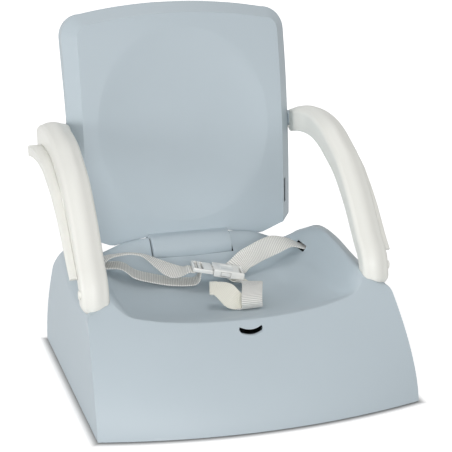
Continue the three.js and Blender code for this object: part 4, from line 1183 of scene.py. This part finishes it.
def floor_glow(tree):
    """Strength of the floor's glow: weaker near the seat, and none on the patch under the base."""
    place = tree.nodes.new("ShaderNodeTexCoord").outputs["Object"]
    away = node_of(tree, "ShaderNodeVectorMath", {0: place}, operation="LENGTH").outputs["Value"]
    fade = ranged(tree, away, GLOW_FROM, GLOW_TO, GLOW_NEAR, 1.0)
    from_patch = vectors(tree, "SUBTRACT", place, (0, placed(0, PATCH_Y, 0)[1], 0))
    share = node_of(tree, "ShaderNodeSeparateXYZ", {0: vectors(tree, "DIVIDE", from_patch, PATCH_SIZE)})
    across = maths(tree, "ABSOLUTE", share.outputs["X"])
    forward = maths(tree, "MULTIPLY", share.outputs["Y"], -1.0)
    bulge = maths(tree, "MULTIPLY_ADD", maths(tree, "MULTIPLY", across, across), PATCH_BULGE, forward)
    widest = maths(tree, "MAXIMUM", across, maths(tree, "MAXIMUM", bulge, share.outputs["Y"]))
    outside = ranged(tree, widest, *PATCH_EDGE, kind="SMOOTHSTEP")
    return maths(tree, "MULTIPLY", maths(tree, "MULTIPLY", fade, outside), seen_or_mirrored(tree))


def floor_material():
    """A pale matt floor that takes the shadow, and glows white where the camera sees it."""
    material, tree, shader = new_material("Pale studio floor")
    shader.inputs["Base Color"].default_value = (FLOOR_GREY, FLOOR_GREY, FLOOR_GREY, 1)
    shader.inputs["Roughness"].default_value = 0.9
    shader.inputs["Specular IOR Level"].default_value = 0.1
    glow = node_of(tree, "ShaderNodeEmission", {"Color": WHITE, "Strength": floor_glow(tree)})
    both = node_of(tree, "ShaderNodeAddShader", {0: shader.outputs[0], 1: glow.outputs[0]})
    feed(tree, both.outputs[0], tree.nodes["Material Output"].inputs["Surface"])
    return material


def studio_world():
    """Dim light all round, and plain white where the camera sees the background."""
    world = bpy.data.worlds.new("Studio")
    world.use_nodes = True
    tree = world.node_tree
    dim = tree.nodes["Background"]
    dim.inputs["Color"].default_value = WHITE
    dim.inputs["Strength"].default_value = WORLD_STRENGTH
    bright = node_of(tree, "ShaderNodeBackground", {"Color": WHITE, "Strength": 1.0})
    mix = node_of(tree, "ShaderNodeMixShader",
                  {0: seen_or_mirrored(tree), 1: dim.outputs[0], 2: bright.outputs[0]})
    feed(tree, mix.outputs[0], tree.nodes["World Output"].inputs["Surface"])
    return world


def facing(name, data, place, ahead):
    """A lamp or camera at a place in metres, turned to look ahead."""
    obj = bpy.data.objects.new(name, data)
    obj.location = place
    obj.rotation_euler = ahead.to_track_quat("-Z", "Y").to_euler()
    bpy.context.scene.collection.objects.link(obj)
    return obj


# Operators: one for each piece or group of like pieces


class BOOSTER_OT_stage(bpy.types.Operator):
    """Floor, backdrop, lamps and the camera"""

    bl_idname = "booster.stage"
    bl_label = "Stage"

    def execute(self, context):
        scene = context.scene
        scene.view_settings.view_transform = "Standard"
        deselect()
        bpy.ops.mesh.primitive_plane_add(size=FLOOR_SIZE, location=(0, 0, 0))
        floor = context.object
        floor.name = floor.data.name = "stage_floor"
        floor.data.materials.append(floor_material())
        scene.world = studio_world()

        middle = Vector(placed(*LAMP_AIM))
        for name, place, size, power in LAMPS:
            lamp = bpy.data.lights.new(name, "AREA")
            lamp.shape = "DISK"
            lamp.size = size
            lamp.energy = power
            facing(name, lamp, place, middle - Vector(place))

        turn, lift = math.radians(CAMERA_TURN), math.radians(CAMERA_LIFT)
        ahead = Vector((math.sin(turn) * math.cos(lift), math.cos(turn) * math.cos(lift), -math.sin(lift)))
        camera = bpy.data.cameras.new("camera")
        camera.sensor_fit = "HORIZONTAL"
        camera.sensor_width = SENSOR_WIDE
        camera.lens = SENSOR_WIDE * FOCAL_PIXELS / PHOTO_WIDE
        camera.clip_start = 0.05
        scene.camera = facing("camera", camera, placed(*(Vector(CAMERA_AIM) - ahead * CAMERA_FAR)), ahead)
        return {"FINISHED"}


# The base's hollow, its bore and pad holes, and the curved slot in its front

BASE_FLOOR = 1.2
WALL_THICK = 4.2
HOUSING_HALF = 61.7
GUSSET_X = 140.0
GUSSET_HIGH = 14.0
GUSSETS = ((-200, -124), (116, 200))
WELL_HALF_WIDE = 13.0
WELL_HALF_LONG = 11.0
WELL_FLOOR = 97.5
BORE_RADIUS = 4.0
PAD_X = 153.0
PAD_Y = (-137, 129)
PAD_RADIUS = 9.3
PAD_LONG = 9.6
SMILE_HALF = 13.5
SMILE_ROUND = 1.5
SMILE_HALF_HIGH = 2.4
SMILE_SAG = 3.0
SMILE_Z = 88.5


def smile_tool():
    """The curved slot in the front face, as a bent bar."""
    rings = []
    y = front_at(0, SMILE_Z)
    straight = SMILE_HALF - SMILE_ROUND
    for i in range(25):
        x = SMILE_HALF * (i / 24 * 2 - 1)
        past = max(0.0, abs(x) - straight) / SMILE_ROUND
        half = SMILE_HALF_HIGH * max(math.sqrt(max(0.0, 1 - past ** 2)), 0.05)
        z = SMILE_Z + SMILE_SAG * ((x / SMILE_HALF) ** 2 - 0.5)
        near, far = y - 17, y + 9
        rings.append([(x, near, z - half), (x, near, z + half), (x, far, z + half), (x, far, z - half)])
    return welded(sheet_of("smile", pointed(rings), wrap=True))


class BOOSTER_OT_base(bpy.types.Operator):
    """Hollow base moulding with its bowl, pockets and slots"""

    bl_idname = "booster.base"
    bl_label = "Base shell"

    def execute(self, context):
        s = context.scene.booster_shell
        body = base_body("base", 0, BASE_FLOOR, s.rim_round / MM, 110, (30, 70, 10))
        rounded(body, s.edge_round, 3, 50)
        hollow = base_body("hollow", WALL_THICK, -4, 0, 44, (12, 24, 4))
        low, high = (-HOUSING_HALF, HINGE_Y - 25, HINGE_Z - 26), (HOUSING_HALF, 160, 140)
        cut(hollow, block("housing", low, high))
        for side in (1, -1):
            for low, high in GUSSETS:
                cut(hollow, beside("gusset", side, (GUSSET_X, low, -10), (200, high, GUSSET_HIGH)))
            low = (ARM_MIDDLE - WELL_HALF_WIDE, FOOT_Y - WELL_HALF_LONG, WELL_FLOOR)
            high = (ARM_MIDDLE + WELL_HALF_WIDE, FOOT_Y + WELL_HALF_LONG, 160)
            cut(hollow, beside("foot_well", side, low, high))
        cut(body, hollow)
        hinge = (0, HINGE_Y, HINGE_Z)
        cut(body, round_bar("clearance", CLEARANCE_RADIUS, CLEARANCE_LONG, hinge, "X", 96))
        cut(body, round_bar("bore", BORE_RADIUS, 130, hinge, "X", 24))
        arm = welded(sheet_of("pocket", arm_rings(), wrap=True))
        modifier(arm, "DISPLACE", strength=PLAY * MM, mid_level=0)
        cut(body, mirrored(arm, "pocket_left"))
        cut(body, arm)
        wide, long, deep = TENON_HALF_WIDE + PLAY, TENON_HALF_LONG + PLAY, TENON_DEEP + PLAY
        for side in (1, -1):
            cut(body, beside("tenon", side, (ARM_MIDDLE - wide, FOOT_Y - long, FOOT_Z - deep),
                             (ARM_MIDDLE + wide, FOOT_Y + long, FOOT_Z + 4)))
            slit = beside("slit", side, (SLIT_IN, BELT_Y - SLIT_HALF_WIDE, BELT_Z - SLIT_HALF_HIGH),
                          (SLIT_OUT, BELT_Y + SLIT_HALF_WIDE, BELT_Z + SLIT_HALF_HIGH))
            cut(body, rounded(slit, 1.5 * MM, 3, 60))
            for y in PAD_Y:
                cut(body, round_bar("pad_hole", PAD_RADIUS, PAD_LONG, (side * PAD_X, y, 0), "Z", 48))
        cut(body, smile_tool())
        smoothed(body, 38)
        even(body)
        finished(body, shell_material(), "base", "shell_grey", "base_shell")
        # Painted shade on the walls of the barrel's end gaps.
        shade_gap(body)
        # Painted shade on the walls of the belt slits.
        shade_slits(body)
        return {"FINISHED"}


# The hinge barrel. BARREL_END holds the points (x, radius) of its chamfered end.

BARREL_HALF = 50.0
BARREL_RADIUS = 18.0
BARREL_BELLY = 1.2
BARREL_EVEN = 49.4
BARREL_END = [(49.6, 17.65), (BARREL_HALF, 16.8), (BARREL_HALF, 0)]


def barrel():
    """The hinge barrel with its slight belly, its chamfered ends and the neck that joins it to the panel."""
    profile = [(-x, radius) for x, radius in reversed(BARREL_END)]
    for k in range(-11, 12):
        profile.append((BARREL_EVEN * k / 12, BARREL_RADIUS + BARREL_BELLY * (1 - (k / 12) ** 2)))
    profile += BARREL_END
    turns = np.linspace(0, 2 * math.pi, 96, endpoint=False)
    rings = [[(x, HINGE_Y + radius * math.cos(a), HINGE_Z + radius * math.sin(a)) for a in turns]
             for x, radius in profile]
    body = welded(sheet_of("hinge_barrel", rings, wrap=True))
    top = HINGE_Z + 19.5
    points = [(HINGE_Y, HINGE_Z + 17.1), (lean_at(top) + 1.3, top), (lean_at(top) + 19.4, top),
              (lean_at(top) + 19.4, HINGE_Z + 12.6), (HINGE_Y + 16.2, HINGE_Z + 7.2), (HINGE_Y, HINGE_Z)]
    cut(body, prism("neck", points, -BARREL_HALF, BARREL_HALF), "UNION")
    return cut(body, round_bar("bore", BORE_RADIUS, 110, (0, HINGE_Y, HINGE_Z), "X", 24))


class BOOSTER_OT_backrest(bpy.types.Operator):
    """Front moulding of the backrest with its dish, bevel and hinge barrel"""

    bl_idname = "booster.backrest"
    bl_label = "Backrest front"

    def execute(self, context):
        s = context.scene.booster_shell
        dish = s.dish / MM
        panel = outline(BACK_HALF - BEVEL_WIDE, CORNER / 2, PANEL_DROP, 0)
        edge = dish_loop(1)
        rings = [raised(dish_loop(k / 12), lambda x, z, k=k: dish * (1 - (k / 12) ** DISH_CURVE))
                 for k in range(13)]
        rings += [raised(mixed(edge, panel, k / 10), lambda x, z: 0) for k in range(1, 11)]
        rings += [raised(mixed(panel, FULL, k / 5), lambda x, z, k=k: BEVEL_DEEP * k / 5)
                  for k in range(1, 6)]
        body = welded(sheet_of("backrest_front", rings, wrap=True))
        modifier(body, "SOLIDIFY", thickness=SHELL * MM, offset=-1)
        rounded(body, s.panel_round, 3, 24)
        cut(body, side_slots())
        for obj, angle in ((body, 30), (barrel(), 38)):
            smoothed(obj, angle)
            even(obj)
            finished(obj, shell_material(), "backrest", "shell_grey", "back_front_shell")
        return {"FINISHED"}


def cover():
    """The rear moulding, drawn from its middle outward to the edge where it meets the front."""

    def rear(x, z):
        return rear_depth(z)

    edge = dish_loop(1)
    low = outline(BACK_HALF - SHELL, CORNER, 8, SHELL)
    step = outline(BACK_HALF, CORNER, 8 / 3, 0)
    rings = [raised(dish_loop(k / 10), rear) for k in range(11)]
    rings += [raised(mixed(edge, low, k / 8), rear) for k in range(1, 9)]
    rings.append(raised(mixed(low, step, 0.7), lambda x, z: rear_depth(z) - SHELL * 0.3))
    rings.append(raised(step, lambda x, z: rear_depth(z) - SHELL))
    for k in range(1, 4):
        rings.append(raised(
            mixed(step, FULL, k / 3),
            lambda x, z, k=k: (rear_depth(z) - SHELL) * (1 - k / 3) + (BEVEL_DEEP + PLAY) * k / 3))
    body = welded(sheet_of("backrest_cover", rings, wrap=True))
    return modifier(body, "SOLIDIFY", thickness=SHELL * MM, offset=-1)


# Screw columns and wells, pivot ears and arm bosses of the cover

SCREW_NEAR = 14.6
COLUMN_RADIUS = 6.0
WELL_RADIUS = 3.9
WELL_DEEP = 5.2
EAR_HALF = 16.0
EAR_TIP = 5.3
EAR_THICK = 8.0
BOSS_RADIUS = 9.5
STEM_RADIUS = 4.0


class BOOSTER_OT_back_cover(bpy.types.Operator):
    """Rear moulding of the backrest with screw wells and pivot ears"""

    bl_idname = "booster.back_cover"
    bl_label = "Backrest cover"

    def execute(self, context):
        body = cover()
        columns, wells = [], []
        for x, z in SCREWS:
            back = lean_at(z) + rear_depth(z)
            near, far = lean_at(z) + SCREW_NEAR, back - SHELL / 2
            columns.append(round_bar("column", COLUMN_RADIUS, far - near, (x, (far + near) / 2, z), "Y", 32))
            wells.append(round_bar("well", WELL_RADIUS, 7.2, (x, back - WELL_DEEP + 3.6, z), "Y", 32))
        cut(body, joined(columns), "UNION")
        cut(body, joined(wells))
        cut(body, side_slots())
        smoothed(body, 38)
        even(body)
        finished(body, shell_material(), "backrest", "shell_grey", "back_rear_shell")

        lower, upper = PIVOT_Z - EAR_HALF, PIVOT_Z + EAR_HALF
        tip = lean_at(PIVOT_Z) + 37
        points = [(lean_at(lower) + 24.6, lower), (tip, PIVOT_Z - EAR_TIP), (tip, PIVOT_Z + EAR_TIP),
                  (lean_at(upper) + 24.6, upper)]
        ear = prism("pivot_ear_right", points, BACK_HALF - EAR_THICK, BACK_HALF)
        rounded(ear, 2.5 * MM, 3, 30)
        smoothed(ear, 38)
        for obj in (ear, mirrored(ear, "pivot_ear_left")):
            finished(obj, shell_material(), "backrest", "shell_grey", "back_rear_shell")

        boss = round_bar("pivot_right", BOSS_RADIUS, 4.3, (142.9, PIVOT_Y, PIVOT_Z), "X", 48)
        rounded(boss, 0.8 * MM, 3, 50)
        cut(boss, round_bar("stem", STEM_RADIUS, 13, (134.5, PIVOT_Y, PIVOT_Z), "X", 32), "UNION")
        smoothed(boss, 38)
        other = mirrored(boss, "pivot_left")
        finished(boss, shell_material(), "backrest", "shell_grey", "arm_boss_right")
        finished(other, shell_material(), "backrest", "shell_grey", "arm_boss_left")
        return {"FINISHED"}


# The arm's cut round the boss, and the oval catch with its pocket: radius, half height and length

BOSS_CUT_IN, BOSS_CUT_OUT = 138.0, 145.6
BOSS_CUT_HALF = 10.2
BOSS_CUT_DOWN = 34.0
CATCH = (3.2, 5.0, 8.2)
CATCH_POCKET = (3.5, 5.3, 10.3)


class BOOSTER_OT_arms(bpy.types.Operator):
    """Curved arms with their side rails and catches"""

    bl_idname = "booster.arms"
    bl_label = "Arms"

    def execute(self, context):
        s = context.scene.booster_arms
        beam = welded(sheet_of("arm_right", arm_rings(), wrap=True))
        tenon = block("tenon", (ARM_MIDDLE - TENON_HALF_WIDE, FOOT_Y - TENON_HALF_LONG, FOOT_Z - TENON_DEEP),
                      (ARM_MIDDLE + TENON_HALF_WIDE, FOOT_Y + TENON_HALF_LONG, FOOT_Z + 8))
        cut(beam, rounded(tenon, 1 * MM, 2, 60), "UNION")
        cut(beam, oval_bar("pocket", *CATCH_POCKET, ARM_FACE - 3.15))
        low = (BOSS_CUT_IN, PIVOT_Y - BOSS_CUT_HALF, PIVOT_Z - BOSS_CUT_DOWN)
        high = (BOSS_CUT_OUT, PIVOT_Y + BOSS_CUT_HALF, PIVOT_Z + BOSS_CUT_HALF)
        cut(beam, block("boss_cut", low, high))
        smoothed(beam, 40)
        rail = closed(sheet_of("rail_right", rail_rings(), wrap=True), bpy.ops.mesh.edge_face_add)
        rounded(rail, s.rail_round, 3, 28)
        smoothed(rail, 38)
        button = oval_bar("catch_right", *CATCH, ARM_FACE - 1.9)
        rounded(button, 1.1 * MM, 4, 50)
        smoothed(button, 38)
        for obj, node in ((beam, "arm_beam"), (rail, "arm_rail"), (button, "arm_catch")):
            other = mirrored(obj, obj.name.replace("_right", "_left"))
            body = "catch" if node == "arm_catch" else "arm"
            finished(obj, arm_material(), f"{body}_right", "arm_white", f"{node}_right")
            finished(other, arm_material(), f"{body}_left", "arm_white", f"{node}_left")
        return {"FINISHED"}


def smooth_inside(obj):
    """Gives the inner side of the tail's loop the flat back of the webbing."""
    back = webbing_material("Flat webbing back", 0.0001, 0.06, FLAT_BACK)
    obj.data.materials.append(back)
    middle = Vector(placed(*row_on(0.16, 0.02, 0.3, 0, 0)[0]))
    layer = obj.data.uv_layers[STRAP_MAP].data
    lowest = min(obj.data.polygons, key=lambda face: face.center.z)
    turned = layer[lowest.loop_start].uv.y
    for face in obj.data.polygons:
        towards = middle - face.center
        towards.x = 0
        if layer[face.loop_start].uv.y > turned:
            towards = Vector((0, -1, 1))
        if face.normal.dot(towards) > 0:
            face.material_index = 1


class BOOSTER_OT_belt(bpy.types.Operator):
    """Ribbed webbing of the lap belt, as it lies on the seat"""

    bl_idname = "booster.belt"
    bl_label = "Webbing"

    def execute(self, context):
        for name, rows in STRAPS.items():
            obj = webbing(name + "_webbing", rows, hem=TAIL_HEM if name == "strap_tail" else 0.0)
            smoothed(obj, 60)
            finished(obj, webbing_material(), "base", "webbing", name)
            if name == "strap_tail":
                smooth_inside(obj)
            if name in ("strap_right", "strap_left_upper"):
                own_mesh(obj)
        return {"FINISHED"}


def buckle_block(name, low, high, width, segments=3):
    """A box in the buckle's own frame, in millimetres, rounded unless the width is 0."""
    deselect()
    low, high = Vector(low), Vector(high)
    bpy.ops.mesh.primitive_cube_add(size=1, location=(low + high) / 2 * MM)
    obj = bpy.context.object
    obj.name = obj.data.name = name
    obj.scale = (high - low) * MM
    settled(obj)
    if width:
        rounded(obj, width * MM, segments, 30)
    return obj


def in_place(obj):
    """Moves a piece from the buckle's frame to where the buckle lies."""
    turn = Matrix((ALONG_B, ACROSS_B, UP_B)).transposed().to_4x4()
    obj.data.transform(Matrix.Translation(placed(*BUCKLE_AT)) @ turn)
    obj.data.update()
    return obj


class BOOSTER_OT_buckle(bpy.types.Operator):
    """Side-release buckle: socket, tongue and its two squeezed arms"""

    bl_idname = "booster.buckle"
    bl_label = "Buckle"

    def execute(self, context):
        material = buckle_material()
        bar_in, slot_in = END - BAR, END - BAR - GAP
        low, high = (-6, -SIDE, -SOCKET_HIGH), (END, SIDE, SOCKET_HIGH)
        socket = buckle_block("buckle_socket_body", low, high, 1.6, 4)
        cut(socket, buckle_block("mouth", (-8, -12.9, -2.7), (14.4, 12.9, 2.7), 0.6, 2))
        for name, low, high in (
                ("slot", (slot_in, -OPEN, -THROUGH), (bar_in, OPEN, THROUGH)),
                ("over", (END - GAP, -OPEN, BAR_HIGH), (34, OPEN, THROUGH)),
                ("under", (END - GAP, -OPEN, -THROUGH), (34, OPEN, -BAR_LOW))):
            cut(socket, buckle_block(name, low, high, 0.8, 2))
        for low, high in ((12.9, 18), (-18, -12.9)):
            cut(socket, buckle_block("window", (2.3, low, -2.8), (14.7, high, 2.8), 0))
        cut(socket, buckle_block("relief", (3, -8.5, 3.9), (18, 8.5, THROUGH), 1.2, 3))
        smoothed(in_place(socket), 38)
        finished(socket, material, "base", "buckle_white", "buckle_socket")

        tongue = buckle_block("buckle_tongue_frame", (-END, -SIDE, -BAR_HIGH), (-6.7, SIDE, BAR_HIGH), 1.4, 4)
        for name, start in (("slot_a", bar_in), ("slot_b", slot_in - BAR)):
            cut(tongue, buckle_block(name, (-start, -OPEN, -THROUGH), (GAP - start, OPEN, THROUGH), 0.8, 2))
        guide = buckle_block("guide", (-8.6, -2.6, -PRONG_HIGH), (12, 2.6, PRONG_HIGH), 0.6, 2)
        cut(tongue, guide, "UNION")
        smoothed(in_place(tongue), 38)
        finished(tongue, material, "base", "buckle_white", "buckle_tongue")

        for side, name in ((-1, "front"), (1, "rear")):
            near, far = sorted((side * 8.8, side * 11.6)), sorted((side * 8.8, side * 15.9))
            arm = buckle_block(f"buckle_arm_{name}", (-6.4, near[0], -PRONG_HIGH), (12, near[1], PRONG_HIGH),
                               0.6, 2)
            barb = buckle_block("barb", (3, far[0], -PRONG_HIGH), (14, far[1], PRONG_HIGH), 0.8, 3)
            cut(arm, barb, "UNION")
            smoothed(in_place(arm), 38)
            finished(arm, material, f"prong_{name}", "buckle_white", f"buckle_prong_{name}")
        return {"FINISHED"}


# What the frame's own pieces that stay are made of, by the start of their names

FITTINGS = {
    "foot_pad": rubber_material,
    "belt_anchor": rubber_material,
    "back_screw": steel_material,
    "hinge_pin": steel_material,
    "pin_plug": shell_material,
}


class BOOSTER_OT_fittings(bpy.types.Operator):
    """Finishes of the pads, screws, pin, plugs and belt anchors, which stay the frame's own pieces"""

    bl_idname = "booster.fittings"
    bl_label = "Fittings"

    def execute(self, context):
        for name, obj in frame["nodes"].items():
            if obj.hide_render:
                continue
            material = next(FITTINGS[start] for start in FITTINGS if name.startswith(start))
            obj.data.materials.clear()
            obj.data.materials.append(material())
        return {"FINISHED"}


class BOOSTER_PT_panel(bpy.types.Panel):
    bl_label = "Booster seat"
    bl_idname = "BOOSTER_PT_panel"
    bl_space_type = "VIEW_3D"
    bl_region_type = "UI"
    bl_category = "Booster seat"

    def draw(self, context):
        layout = self.layout
        scene = context.scene
        roundings = ("rim_round", "edge_round", "dish", "panel_round")
        for holder, names in (
                (scene.booster_shell, ("colour", "roughness", *roundings)),
                (scene.booster_arms, ("colour", "roughness", "rail_round")),
                (scene.booster_belt, ("webbing", "buckle", "rib"))):
            box = layout.box()
            for name in names:
                box.prop(holder, name)
        for operator in OPERATORS:
            layout.operator(operator.bl_idname)


OPERATORS = (
    BOOSTER_OT_stage,
    BOOSTER_OT_base,
    BOOSTER_OT_backrest,
    BOOSTER_OT_back_cover,
    BOOSTER_OT_arms,
    BOOSTER_OT_belt,
    BOOSTER_OT_buckle,
    BOOSTER_OT_fittings,
)
CLASSES = (ShellSettings, ArmSettings, BeltSettings, *OPERATORS, BOOSTER_PT_panel)


def register():
    for cls in CLASSES:
        bpy.utils.register_class(cls)
    bpy.types.Scene.booster_shell = bpy.props.PointerProperty(type=ShellSettings)
    bpy.types.Scene.booster_arms = bpy.props.PointerProperty(type=ArmSettings)
    bpy.types.Scene.booster_belt = bpy.props.PointerProperty(type=BeltSettings)


def unregister():
    del bpy.types.Scene.booster_belt
    del bpy.types.Scene.booster_arms
    del bpy.types.Scene.booster_shell
    for cls in reversed(CLASSES):
        bpy.utils.unregister_class(cls)


def main():
    register()
    bpy.ops.booster.stage()
    bpy.ops.booster.base()
    bpy.ops.booster.backrest()
    bpy.ops.booster.back_cover()
    bpy.ops.booster.arms()
    bpy.ops.booster.belt()
    bpy.ops.booster.buckle()
    bpy.ops.booster.fittings()


if __name__ == "__main__":
    main()
